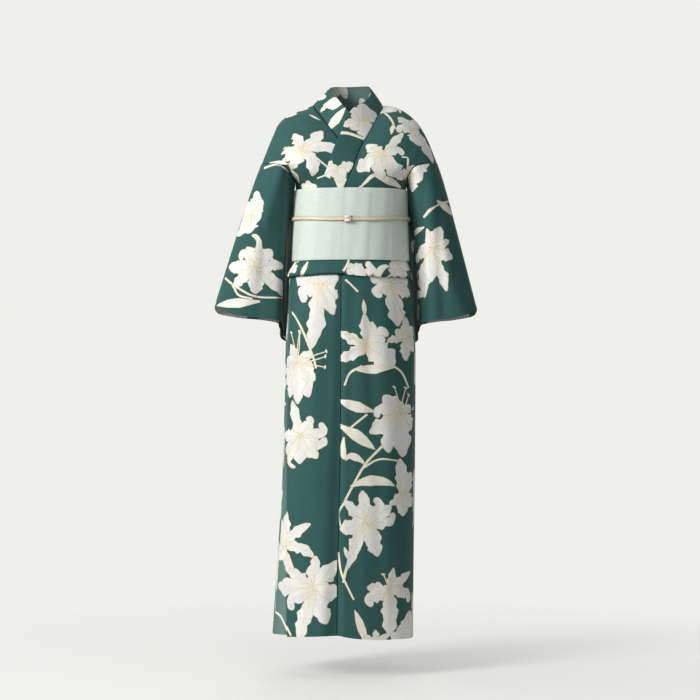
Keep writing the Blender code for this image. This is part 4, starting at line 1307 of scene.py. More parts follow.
class Print:
    """The motifs of one piece, in its flat cloth."""

    def __init__(self, cloth):
        self.cloth = cloth
        self.motifs = []
        v = np.arange(0.004, cloth.v[-1] - 0.002, PROBE_STEP)
        us, vs = [], []
        for at in v:
            low, high = cloth.edges(at)
            line = np.arange(low + 0.002, high, PROBE_STEP)
            us.append(line)
            vs.append(np.full(len(line), at))
        self.u, self.v = np.concatenate(us), np.concatenate(vs)
        self.points, self.normals = cloth.base(*cloth.place(self.u, self.v))

    def find(self, x, z):
        """The flat place of the outermost layer at x, z, and the flat directions of +x and +z."""
        gap = (self.points[:, 0] - x) ** 2 + (self.points[:, 2] - z) ** 2
        facing = self.normals[:, 1] < 0.1
        gap = np.where(facing, gap, gap + TURNED_AWAY)
        near = np.where(gap < gap.min() + SAME_PLACE)[0]
        best = near[self.points[near, 1].argmin()]
        u, v = self.u[best], self.v[best]
        turn = PROBE_TURN * np.array((0, 1, -1, 0, 0)), PROBE_TURN * np.array((0, 0, 0, 1, -1))
        probe = u + turn[0], v + turn[1]
        points = self.cloth.base(*self.cloth.place(*probe))[0]
        du, dv = points[1] - points[2], points[3] - points[4]
        up = unit(np.array((du[2], dv[2])), 0)
        right = np.array((up[1], -up[0]))
        if right @ np.array((du[0], dv[0])) < 0:
            right = -right
        off = np.array((x - points[0][0], z - points[0][2]))
        place = np.array((u, v)) + right * off[0] + up * off[1]
        # where the cloth turns away the print runs on round it, so a motif is a little longer in the flat
        reach = np.arange(-REACH, REACH + 0.0001, REACH_STEP)
        line = place + reach[:, None] * right
        low, high = self.cloth.edges(line[:, 1])
        within = (line[:, 0] >= low) & (line[:, 0] <= high)
        line = self.cloth.base(*self.cloth.place(line[:, 0], np.clip(line[:, 1], 0, self.cloth.v[-1])))[0]
        across = np.clip(np.diff(line[:, 0]), REACH_STEP / STRETCH, REACH_STEP)
        steps = np.where(within[1:] & within[:-1], across, REACH_STEP)
        seen = np.concatenate([[0], np.cumsum(steps)])
        seen -= np.interp(0, reach, seen)
        return place, right, up, (1000 * seen, 1000 * reach)

    def add(self, motifs, place, right, up, warp=((-1, 1), (-1, 1)), scale=1.0):
        for motif in motifs:
            across = scale * stretched(motif.points[:, 0], *warp)
            flat = place + 0.001 * (across[:, None] * right + scale * motif.points[:, 1:] * up)
            self.motifs.append((motif, flat, place, right, up, warp, scale))


def generic(seed):
    """A lily on its stem with leaves, for the sides that the layout above doesn't reach."""
    rng = np.random.RandomState(seed)
    made = []
    start = rng.uniform(0, 360)
    for k in range(2):
        turn = start + 150 + 70 * k + rng.uniform(-15, 15)
        length, half, bend = rng.uniform(75, 105), rng.uniform(8, 11), rng.uniform(-30, 30)
        made += petal(turn, length, half, bend, 60 * (-1) ** k, seed + k, "leaf")
    made += stroke(spine(start + 180, 130, rng.uniform(-40, 40), 0, 12), 2.2, seed)
    rows = []
    for turn in (0, 120, 240, 60, 180, 300):
        at = start + turn + rng.uniform(-12, 12)
        curl = (0, 110, 0, -90, 60, -120)[rng.randint(6)]
        rows.append((at, rng.uniform(50, 72), rng.uniform(13, 18), rng.uniform(-18, 18), curl))
    stamens = [(start + 40 + 24 * k, rng.uniform(30, 40)) for k in range(5)]
    return made + lily(rows, stamens, seed)


LOOSE = 0.02  # how far a scattered lily may stand off its lattice


def scatter(prints, spacing, offset, keep, first):
    """Generic lilies over the flat cloth, on a staggered lattice, where keep says so."""
    cloth = prints.cloth
    row = 0
    v = offset
    while v < cloth.v[-1] + 0.03:
        low, high = cloth.edges(v)
        u = low - 0.02 + (0.5 * spacing[0] if (row + first) % 2 else 0.0)
        while u < high + 0.04:
            rng = np.random.RandomState((int(v * 1000) * 7919 + int((u + 3) * 1000) * 131) % 99991)
            place = np.array((u + rng.uniform(-LOOSE, LOOSE), v + rng.uniform(-LOOSE, LOOSE)))
            inside = np.clip([place[0]], low, high), np.clip([place[1]], None, cloth.v[-1])
            point, normal = cloth.base(*cloth.place(*inside))
            if keep(point[0], normal[0]):
                flip = 1.0 if rng.uniform() > 0.5 else -1.0
                motifs = generic(rng.randint(1, 9999))
                for motif in motifs:
                    motif.points = thinned(motif.points, SCATTERED_STEP)
                prints.add(motifs, place, np.array((flip, 0.0)), np.array((0.0, 1.0)),
                           scale=rng.uniform(0.82, 1.0))
            u += spacing[0]
        v += spacing[1]
        row += 1


# ---- cutting the flat cloth along the print, and making the shell ----
RIM, NEXT_RIM, INNER = 0.0016, 0.0045, 0.009  # from each side edge: two rows of points, and the even ones


def cut_cloth(cloth, motifs, spacing):
    """Triangles of the flat cloth, cut along each motif's edge, and the top motif in each, or -1."""
    levels = cloth.levels(spacing)
    low, high = cloth.edges(levels)

    def across(v):
        a, b = cloth.edges(v)
        count = max(2, math.ceil((b - a) / spacing))
        return [(a + (b - a) * k / count, v) for k in range(count + 1)]

    border = across(levels[0]) + [(u, v) for u, v in zip(high[1:-1], levels[1:-1])]
    border += across(levels[-1])[::-1] + [(u, v) for u, v in zip(low[1:-1], levels[1:-1])][::-1]
    points = [Vector((u * 1000, v * 1000)) for u, v in border]
    faces = [list(range(len(points)))]
    for _, flat, *_ in motifs:
        start = len(points)
        x, y = flat[:, 0], flat[:, 1]
        area = (x * np.roll(y, -1) - y * np.roll(x, -1)).sum()
        ring = flat if area > 0 else flat[::-1]
        points += [Vector((a * 1000, b * 1000)) for a, b in ring]
        faces.append(list(range(start, len(points))))
    for n, v in enumerate(levels[1:-1]):
        a, b = cloth.edges(v)
        inside = [a + RIM, a + NEXT_RIM, b - NEXT_RIM, b - RIM]
        count = max(1, round((b - a - 2 * INNER) / spacing))
        shift = 0.25 if n % 2 else -0.25
        inside += [a + INNER + (b - a - 2 * INNER) * (k + 0.5 + shift) / count for k in range(count)]
        points += [Vector((u * 1000, v * 1000)) for u in inside if a + 0.001 < u < b - 0.001]
    got = delaunay_2d_cdt(points, [], faces, 1, 1e-4, True)
    flat = np.array([tuple(p) for p in got[0]]) / 1000
    tris, tops = [], []
    for face, origin in zip(got[2], got[5]):
        if 0 not in origin:
            continue
        top = max(origin) - 1
        for k in range(1, len(face) - 1):
            tris.append((face[0], face[k], face[k + 1]))
            tops.append(top)
    return flat, np.array(tris), np.array(tops)


def shell(name, cloth, wall, spacing, materials, ground=GROUND, motifs=(), backlight_paint=None):
    """A thin closed shell of cloth: face, back and edge, with the print and the flat place in it."""
    flat, tris, tops = cut_cloth(cloth, motifs, spacing)
    u, v = flat[:, 0], flat[:, 1]
    points, normals = cloth.shape(u, v)
    used = np.unique(tris)
    index = np.full(len(points), -1)
    index[used] = np.arange(len(used))
    points, normals, flat, tris = points[used], normals[used], flat[used], index[tris]
    if cloth.facing < 0:
        tris = tris[:, ::-1]
    count = len(points)
    # the border, as directed edges of the face
    ends = np.concatenate([tris[:, [0, 1]], tris[:, [1, 2]], tris[:, [2, 0]]])
    key = ends.min(1) * count + ends.max(1)
    _, first, uses = np.unique(key, return_index=True, return_counts=True)
    rim = ends[first[uses == 1]]
    owner = np.tile(np.arange(len(tris)), 3)[first[uses == 1]]
    outer, inner = points + normals * wall / 2, points - normals * wall / 2
    vertices = np.concatenate([outer, inner])
    rims = np.stack([rim[:, 1], rim[:, 0], rim[:, 0] + count, rim[:, 1] + count], axis=1)
    mesh = bpy.data.meshes.new(name)
    faces = [tuple(f) for f in tris.tolist()] + [tuple(f) for f in (tris[:, ::-1] + count).tolist()]
    faces += [tuple(f) for f in rims.tolist()]
    mesh.from_pydata(vertices.tolist(), [], faces)
    for made in materials:
        mesh.materials.append(made)
    which = np.concatenate([np.zeros(len(tris), int), np.full(len(tris), min(1, len(materials) - 1)),
                            np.zeros(len(rims), int)])
    mesh.polygons.foreach_set("material_index", which.astype(np.int32))
    # corners: colour, place in the petal, flat place, normal
    colour = np.empty((len(tris), 3, 3))
    cell = np.zeros((len(tris), 3, 3))
    colour[:] = ground
    # painted light: the ground is painted paler where light would come through the single layer of cloth
    if backlight_paint is not None:
        share = backlight_paint(points[tris].reshape(-1, 3)).reshape(-1, 3, 1)
        colour = colour * (1 - share) + np.array(PAINTED_BACKLIGHT) * share
    for k, (motif, _, place, right, up, warp, scale) in enumerate(motifs):
        mine = np.where(tops == k)[0]
        if not len(mine):
            continue
        basis = np.stack([right, up], axis=1) * 0.001 * scale
        local = (flat[tris[mine].ravel()] - place) @ np.linalg.inv(basis).T
        local[:, 0] = stretched(local[:, 0], warp[1], warp[0])
        painted, placed = paint(motif, local)
        colour[mine], cell[mine] = painted.reshape(-1, 3, 3), placed.reshape(-1, 3, 3)
    tangent = vertices[rim[:, 1]] - vertices[rim[:, 0]]
    beside = unit(np.cross(tangent, normals[rim[:, 0]]))
    rim_normals = np.stack([normals[rim[:, 1]] + beside, normals[rim[:, 0]] + beside,
                            beside - normals[rim[:, 0]], beside - normals[rim[:, 1]]], axis=1)
    rim_normals = unit(rim_normals, 2)
    def corners(face, back, edge):
        return np.concatenate([part.reshape(-1, face.shape[-1]) for part in (face, back, edge)])

    turned = tris[:, ::-1]
    loops_normal = corners(normals[tris], -normals[turned], rim_normals)
    loops_flat = corners(flat[tris], flat[turned], flat[rims % count])
    loops_colour = corners(colour, colour[:, ::-1], np.repeat(colour[owner].mean(1), 4, axis=0))
    loops_cell = corners(cell, cell[:, ::-1], np.zeros((4 * len(rims), 3)))
    ink = mesh.attributes.new("print", "FLOAT_COLOR", "CORNER")
    ink.data.foreach_set("color", np.insert(loops_colour, 3, 1.0, axis=1).ravel())
    mesh.attributes.new("petal", "FLOAT_VECTOR", "CORNER").data.foreach_set("vector", loops_cell.ravel())
    mesh.uv_layers.new(name="Flat").data.foreach_set("uv", loops_flat.ravel())
    mesh.polygons.foreach_set("use_smooth", np.ones(len(faces), bool))
    mesh.normals_split_custom_set(loops_normal.tolist())
    mesh.update()
    return in_scene(name, mesh)


# ---- creases and turned edges ----
# where the overlap is sewn on, and where its free edge hangs, at three heights from the belt to the hem
OVERLAP_Z = (0.40, 0.81, 1.24)
SEAM_X, FREE_X = (-0.0150, -0.0173, -0.0253), (-0.1325, -0.1390, -0.1400)


# side (1 front, -1 back), x and z of the two ends, half width, depth (negative goes in)
CREASES = (
    (1, -0.0040, -0.380, -0.0090, -1.450, 0.0070, 0.0018),
    (1, -0.0560, -0.400, -0.0620, -1.700, 0.0420, 0.0075),
    (1, -0.0600, -0.800, -0.0720, -1.450, 0.0240, 0.0045),
    (1, -0.0880, -0.420, -0.0950, -0.900, 0.0220, 0.0032),
    (1, 0.0300, -0.420, 0.0360, -0.760, 0.0180, 0.0030),
    (1, -0.002, -0.474, -0.003, -0.560, 0.0040, -0.0012),
    (1, -0.030, -0.420, -0.034, -0.900, 0.0120, 0.0015),
    (1, 0.052, -0.430, 0.060, -0.800, 0.0160, -0.0018),
    (1, 0.088, -0.520, 0.096, -1.240, 0.0150, 0.0022),
    (1, 0.122, -0.430, 0.128, -0.900, 0.0110, -0.0016),
    (1, -0.100, -0.560, -0.108, -1.240, 0.0140, 0.0020),
    (1, -0.082, -0.420, -0.090, -0.720, 0.0100, -0.0014),
    (1, -0.128, -0.420, -0.118, -0.560, 0.0060, -0.0010),
    (1, 0.020, -0.900, 0.024, -1.240, 0.0180, -0.0020),
    (1, 0.150, -0.118, 0.105, -0.182, 0.0075, -0.0020),
    (1, 0.128, -0.130, 0.090, -0.184, 0.0060, 0.0014),
    (1, 0.165, -0.090, 0.140, -0.150, 0.0070, 0.0014),
    (1, -0.140, -0.110, -0.100, -0.182, 0.0075, -0.0020),
    (1, -0.118, -0.125, -0.080, -0.184, 0.0060, 0.0014),
    (1, -0.060, -0.090, -0.030, -0.184, 0.0090, -0.0012),
    (1, 0.050, -0.110, 0.044, -0.184, 0.0080, -0.0012),
    (1, -0.070, -0.362, -0.062, -0.392, 0.0050, -0.0008),
    (1, 0.040, -0.362, 0.046, -0.396, 0.0060, -0.0008),
    (1, 0.096, -0.362, 0.090, -0.396, 0.0050, 0.0008),
    (-1, 0.060, -0.100, 0.030, -0.180, 0.0100, -0.0020),
    (-1, -0.050, -0.100, -0.020, -0.180, 0.0100, -0.0020),
    (-1, 0.130, -0.100, 0.080, -0.178, 0.0080, -0.0022),
    (-1, -0.118, -0.100, -0.068, -0.178, 0.0080, -0.0022),
    (-1, 0.036, -0.430, 0.044, -1.000, 0.0140, -0.0022),
    (-1, -0.030, -0.430, -0.040, -1.000, 0.0140, -0.0022),
    (-1, 0.090, -0.430, 0.104, -1.200, 0.0150, -0.0024),
    (-1, -0.082, -0.430, -0.100, -1.200, 0.0150, -0.0024),
)
SLEEVE_CREASES = (
    (1, 0.196, -0.110, 0.204, -0.520, 0.0120, 0.0036),
    (1, 0.212, -0.190, 0.228, -0.520, 0.0100, -0.0044),
    (1, 0.188, -0.160, 0.284, -0.560, 0.0220, 0.0090),
    (1, 0.176, -0.170, 0.182, -0.520, 0.0080, -0.0036),
    (1, 0.206, -0.128, 0.196, -0.200, 0.0060, -0.0012),
    (-1, 0.205, -0.160, 0.225, -0.520, 0.0120, -0.0032),
    (-1, 0.240, -0.220, 0.270, -0.520, 0.0120, 0.0026),
    (1, -0.157, -0.100, -0.161, -0.560, 0.0150, 0.0074),
    (1, -0.141, -0.160, -0.146, -0.520, 0.0080, -0.0020),
    (1, -0.196, -0.180, -0.204, -0.520, 0.0120, -0.0030),
    (1, -0.226, -0.230, -0.252, -0.520, 0.0140, 0.0022),
    (-1, -0.196, -0.160, -0.216, -0.520, 0.0120, -0.0032),
    (-1, -0.232, -0.220, -0.262, -0.520, 0.0120, 0.0026),
)


HEM_TURN = 0.0135  # from the edge to the line where the turned hem ends


def creased(creases, uneven, hems, end, overlap):
    """Relief of a cloth: creases by place on the robe, unevenness, dips at the seams and turned hems."""
    seam = 0.0001 if overlap else 0.0005

    def relief(points, normals, u, v, low, high):
        x, y, z = points.T
        out = np.zeros(len(u))
        for side, x0, z0, x1, z1, wide, deep in creases:
            dx, dz = x1 - x0, z1 - z0
            long = math.hypot(dx, dz)
            t = ((x - x0) * dx + (z - z0) * dz) / long ** 2
            bend = 0.3 * wide * np.sin(7 * t + 40 * x0)
            gap = ((x - x0) * dz - (z - z0) * dx) / long + bend
            shown = ease(-0.12, 0.18, t) * (1 - ease(0.80, 1.12, t))
            shown = shown * ease(0.0, 0.35, -side * normals[:, 1])
            out += deep * bell(gap, wide) * shown
        angle = np.arctan2(y, x - MID_X)
        wave = np.sin(9 * angle + 5.1 * z + 0.6 * np.sin(8 * z)) + 0.6 * np.sin(17 * angle - 9 * z + 1.1)
        wave += 0.35 * np.sin(31 * angle + 14 * z) + 0.4 * np.sin(26 * z + 3 * angle)
        out += uneven * 0.5 * wave * ease(0.002, 0.02, np.minimum(u - low, high - u))
        out -= seam * (bell(u - low, 0.0022) + bell(high - u, 0.0022))
        if creases is CREASES:
            # the fold beside the seam of the overlap, deeper toward the hem, and the step at the seam itself
            gap, part = x - np.interp(-z, OVERLAP_Z, SEAM_X), ease(-0.40, -1.25, z)
            wide = np.where(gap < 0, 0.0080 + 0.0120 * part, 0.0050 + 0.0080 * part)
            shown = ease(0.0, 0.3, -normals[:, 1]) * ease(-0.37, -0.41, z)
            out -= (0.0026 + 0.0084 * part) * bell(gap, wide) * shown
            if overlap:
                free = np.abs(x - np.interp(-z, OVERLAP_Z, FREE_X))
                out += 0.0010 * bell(free, 0.0040) * shown
            else:
                out -= 0.0024 * bell(gap, 0.0060) * shown
            # the cloth swells a little above the belt, at each side
            out += 0.0034 * (bell(z + 0.181, 0.010) * bell(np.abs(x - MID_X) - 0.135, 0.014))
        for at in hems:
            gap = np.abs(v - (0.0 if at == 0 else end))
            out += 0.0003 * (1 - ease(0.0125, 0.0150, gap)) - 0.0004 * bell(gap - HEM_TURN, 0.0012)
        return out

    return relief


UNEVEN, COLLAR_UNEVEN = 0.0008, 0.0002  # height of the soft waves of the cloth


def prepared(rows, creases, round_axis=None, wrapped=False, uneven=UNEVEN, hems=(0,), overlap=False):
    cloth = Cloth(rows, round_axis, wrapped)
    cloth.relief = creased(creases, uneven, hems, cloth.v[-1], overlap)
    return cloth


# ---- the printed pieces ----
def against_belt(point, side):
    """Below the armhole the sleeve settles against the belt."""
    low = max(0.0, 1 - abs(point.z + 0.222) / 0.036)
    near = max(0.0, 1 - max(0.0, side * (point.x - MID_X) - 0.145) / 0.03)
    settled = Vector(point)
    settled.x -= side * 0.0055 * low ** 0.7 * near
    high = max(0.0, 1 - abs(point.z + 0.235) / 0.08)
    settled.x -= side * (0.006 + 0.006 * high) * clamped((point.y - 0.030) / 0.03)
    if point.y > 0.02:
        settled.z += 0.016 * max(0.0, 1 - max(0.0, -0.19 - point.z) / 0.14)
    return settled


def crisp_edge(row, side):
    """The outer fold of the sleeve is pressed flatter, and the cuff's corner is squarer."""
    outermost = max(side * p.x for p in row)
    for p in row:
        gap = outermost - side * p.x
        if gap < 0.032:
            p.x += side * 0.5 * gap * (1 - gap / 0.032)
        if gap < 0.070 and p.y < 0.004:
            lifted = 0.0045 * min(1.0, gap / 0.008) * (1 - max(0.0, gap - 0.030) / 0.040)
            p.z += lifted * ease(-0.40, -0.46, p.z)
    return row


sleeve_grids = {}
for name, side, inner, outer, top_z in SLEEVES:
    armhole = armhole_left if side > 0 else armhole_right
    rows = sleeve_rows(side, armhole, inner, outer, top_z)
    turn = len(armhole) // 2 + 3 * len(OPEN_FRONT)  # the column at the lower end of the front opening
    rows = [crisp_edge([against_belt(point, side) for point in row], side) for row in rows]
    sleeve_grids[name] = [row[turn:] + row[:turn + 1] for row in rows]


def middle_of(rows):
    """The middle of each row, by height."""
    centres = sorted((sum(p.z for p in row) / len(row), sum(p.x for p in row) / len(row),
                      sum(p.y for p in row) / len(row)) for row in rows)
    z, x, y = (np.array(part) for part in zip(*centres))

    def middle(points):
        return np.stack([np.interp(points[:, 2], z, x), np.interp(points[:, 2], z, y), points[:, 2]], axis=1)

    return middle


def collar_axis(points):
    return np.stack([np.full(len(points), MID_X), np.full(len(points), -0.02), points[:, 2]], axis=1)


def closed_behind(rows, side):
    """The centre back seam drawn together."""
    made = [[Vector(p) for p in row] for row in rows]
    for row in made:
        for p in (row[0], row[-1]):
            if p.y > 0.02 and abs(p.x - MID_X) < 0.003:
                p.x = MID_X - side * 0.0002
    return made


def lowered_collar(rows):
    """At the nape the collar's outer edge reaches down over the neckline."""
    made = [[Vector(p) for p in row] for row in rows]
    for row in made:
        edge, beside = (0, 1) if row[0].z < row[-1].z else (-1, -2)
        behind = clamped((row[edge].y - 0.005) / 0.03)
        down = (row[edge] - row[beside]).normalized()
        out = Vector((row[edge].x - MID_X, row[edge].y, 0)).normalized()
        row[edge] += behind * (0.0048 * down + 0.0010 * out)
    return made


PIECES = {
    "body_left": prepared(closed_behind(body_left, 1), CREASES, hems=(0, 1)),
    "body_right": prepared(closed_behind(body_right, -1), CREASES, hems=(0, 1)),
    "okumi_left": prepared(okumi_left, CREASES, overlap=True),
    "okumi_right": prepared(okumi_right[:-2], CREASES),
    "collar": prepared(lowered_collar(collar_under[::-1] + collar_top[1:]), (), collar_axis,
                       uneven=COLLAR_UNEVEN, hems=()),
}
for name, rows in sleeve_grids.items():
    PIECES[name] = prepared(rows, SLEEVE_CREASES, middle_of(rows), True, hems=(1,))

LATTICE, WIDE_LATTICE = (0.138, 0.148), (0.200, 0.230)  # between scattered lilies, across and along
FIRST_ROW, ROW_SHIFT = 0.02, 0.031  # where the lattice starts, and how far it moves from piece to piece
LEAF_SEED, LILY_SEED = 500, 60
prints = {name: Print(cloth) for name, cloth in PIECES.items()}
for number, name in enumerate(PIECES):
    def keep(point, normal, name=name):
        if name.startswith("sleeve"):
            return normal[1] > 0.35 and point[1] < 0.06 or point[1] > 0.10
        if name == "collar":
            return point[1] > 0.0
        return name == "okumi_right" or name.startswith("body") and (normal[1] > -0.25 or point[1] > 0.0)

    scatter(prints[name], WIDE_LATTICE if name == "okumi_right" else LATTICE, FIRST_ROW + ROW_SHIFT * number,
            keep, number)


def on_robe(x, y):
    """The robe's own x and z at a place in the photograph."""
    return (x - PICTURE_MIDDLE) / PIXELS_PER_METRE + EYE_X, (PICTURE_MIDDLE - y) / PIXELS_PER_METRE + EYE_Z


def pointing(foot, tip, bend=0):
    """Direction in degrees and length in millimetres from one place in the photograph to another."""
    right, up = (tip[0] - foot[0]) * MM_PER_PIXEL, (foot[1] - tip[1]) * MM_PER_PIXEL
    return math.degrees(math.atan2(up, right)) - bend / 2, math.hypot(right, up)


def laid_petal(centre, tip_x, tip_y, half, bend=0, curl=0):
    return *pointing(centre, (tip_x, tip_y), bend), half * MM_PER_PIXEL, bend, curl


def lay(panels, x, y, motifs):
    """The same motifs on each panel that they cross, from one place in the photograph."""
    for panel in panels.split():
        cloth = prints[PANELS[panel]]
        cloth.add(motifs(), *cloth.find(*on_robe(x, y)))


for seed, (panels, half, line) in enumerate(STEMS):
    first = line[0]
    points = [((x - first[0]) * MM_PER_PIXEL, (first[1] - y) * MM_PER_PIXEL) for x, y in line]
    lay(panels, *first, lambda: stroke(points, half * MM_PER_PIXEL, seed))
for seed, (panels, x, y, *shape) in enumerate(LEAVES):
    lay(panels, x, y, lambda: petal(*laid_petal((x, y), *shape), LEAF_SEED + seed, "leaf"))
for seed, (panels, x, y, petals, stamens) in enumerate(LILIES):
    rows = [laid_petal((x, y), *row) for row in petals]
    ends = [pointing((x, y), tip) for tip in stamens]
    lay(panels, x, y, lambda: lily(rows, ends, LILY_SEED + seed))


def painted_backlight_share(points):
    """How much the ground is painted paler where the thin cloth hangs alone beyond the overlap's free edge:
    painted light, in place of the light that comes through it.
    """
    x, y, z = points.T
    beyond = ease(0.0005, 0.0040, np.interp(-z, OVERLAP_Z, FREE_X) - x)
    beyond = beyond * ease(0.200, 0.150, -x) * ease(0.0, 0.02, -y)
    return (0.30 + 0.25 * ease(-0.70, -1.22, z)) * beyond * ease(-0.40, -0.43, z)


CLOTH_WALL, COLLAR_WALL, BELT_WALL = 0.0013, 0.0017, 0.0022
CLOTH_STEP, BELT_STEP, TAIL_STEP = 0.0086, 0.0060, 0.0050  # between points of the cloth
made_pieces = {}
for name, cloth in PIECES.items():
    # body_right's single layer beyond the overlap gets painted light, a paler ground
    piece = shell(name + "_cloth", cloth, COLLAR_WALL if name == "collar" else CLOTH_WALL, CLOTH_STEP,
                  (PRINTED, REVERSE), motifs=prints[name].motifs,
                  backlight_paint=painted_backlight_share if name == "body_right" else None)
    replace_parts(piece, name)
    made_pieces[name] = piece

# ---- belt ----
BELT_RIBS, BELT_THREADS = 620, 1100  # a metre


def woven_belt(name, colour, deep):
    """Mint weave with fine cross ribs."""
    nodes = Nodes(name)
    uv = nodes.flat(1, 1)
    parts = nodes.node("ShaderNodeSeparateXYZ", {0: uv})
    rib_uneven = nodes.noise(nodes.flat(40, 700), 1.0, 1.0)
    warp_uneven = nodes.noise(nodes.flat(700, 40), 1.0, 1.0)
    ribs = nodes.ridges(parts.outputs[1], BELT_RIBS * math.pi)
    warp = nodes.ridges(parts.outputs[0], BELT_THREADS * math.pi)
    ink = nodes.mix(nodes.ramp(rib_uneven, 0.38, 0.62, 0.0, 0.7), colour, deep)
    ink = nodes.mix(nodes.ramp(warp_uneven, 0.42, 0.70, 0.0, 0.35), ink, rgba(226, 236, 228))
    cloudy = nodes.noise(uv, 11.0, 3.0)
    ink = nodes.mix(nodes.ramp(cloudy, 0.38, 0.66, 0.0, 0.22), ink, rgba(196, 212, 199))
    nodes.surface(ink, Roughness=0.68, Specular_IOR_Level=0.32, Sheen_Weight=0.12, Sheen_Roughness=0.4)
    nodes.bump(nodes.math("ADD", nodes.times(ribs, 0.7), nodes.times(warp, 0.3)), 0.30, WEAVE_DEPTH)
    return nodes.material


MINT = woven_belt("mint_weave_face", rgba(205, 216, 207), rgba(195, 208, 198))


# soft dents of the belt: angle round the body, half width, depth
BELT_CREASES = ((-1.75, 0.06, 0.0007), (-1.15, 0.05, -0.0006), (-0.72, 0.04, 0.0006), (-2.25, 0.05, 0.0006))
BELT_EDGE, BELT_GROUND = 0.0016, srgb(206, 221, 209)


def belt_relief(points, normals, u, v, low, high):
    x, y, z = points.T
    angle = np.arctan2(y, x - MID_X)
    out = 0.0007 * np.sin(7 * angle + 6 * z) + 0.0004 * np.sin(19 * angle - 20 * z + 0.7)
    for at, wide, deep in BELT_CREASES:
        out += deep * bell(angle - at - 0.5 * (z + 0.27), wide)
    out -= 0.0009 * bell(np.minimum(u - low, high - u), BELT_EDGE)
    out -= 0.0006 * bell(z - CORD_Z, 0.011)
    return out


def tail_relief(points, normals, u, v, low, high):
    return 0.0004 * np.sin(60 * u + 9 * v) - 0.0008 * bell(np.minimum(u - low, high - u), BELT_EDGE)


def belt_piece(name, rows, relief, spacing):
    cloth = Cloth(rows)
    cloth.relief = relief
    return shell(name, cloth, BELT_WALL, spacing, (MINT,), BELT_GROUND)


obi_piece = belt_piece("obi_cloth", obi_rows, belt_relief, BELT_STEP)
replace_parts(obi_piece, "obi")
tail_piece = belt_piece("obi_tail_cloth", tail_rows, tail_relief, TAIL_STEP)
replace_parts(tail_piece, "obi_tail")


# ---- cord and ornament ----
def mesh_piece(name, points, faces, paint):
    mesh = bpy.data.meshes.new(name)
    mesh.from_pydata([tuple(p) for p in points], [], faces)
    mesh.materials.append(paint)
    mesh.polygons.foreach_set("use_smooth", np.ones(len(mesh.polygons), bool))
    mesh.update()
    return in_scene(name, mesh)


def tube_faces(rings, around, closed=True, base=0):
    faces = []
    for k in range(rings if closed else rings - 1):
        for j in range(around):
            a, b = base + k * around + j, base + k * around + (j + 1) % around
            c, d = base + ((k + 1) % rings) * around + (j + 1) % around, base + ((k + 1) % rings) * around + j
            faces.append((a, b, c, d))
    return faces


def braid_material():
    nodes = Nodes("gold_braid_face")
    parts = nodes.node("ShaderNodeSeparateXYZ", {0: nodes.flat(1, 1)})
    along, across = nodes.times(parts.outputs[0], 420.0), nodes.times(parts.outputs[1], 900.0)
    slants = [nodes.math(way, along, across) for way in ("ADD", "SUBTRACT")]
    plaits = nodes.times(*[nodes.math("ABSOLUTE", nodes.math("SINE", slant)) for slant in slants])
    edge = nodes.attribute("strand").outputs["Fac"]
    worn = nodes.noise(nodes.flat(90, 90), 1.0, 3.0)
    ink = nodes.mix(nodes.ramp(edge, 0.25, 0.85), rgba(228, 223, 207), rgba(188, 170, 130))
    # painted shade: the grooves between the plait's crossings are painted darker brown
    ink = nodes.mix(nodes.ramp(plaits, 0.0, 0.55, 0.45, 0.0), ink, rgba(168, 146, 104))
    ink = nodes.mix(nodes.ramp(worn, 0.40, 0.70, 0.0, 0.30), ink, rgba(214, 196, 156))
    nodes.surface(ink, Roughness=0.42, Specular_IOR_Level=0.5, Sheen_Weight=0.15)
    nodes.bump(plaits, 0.45, 0.0005)
    return nodes.material


CORD_RINGS, CORD_AROUND = 760, 26
PLAIT = 0.0052  # from one crossing of the plait to the next


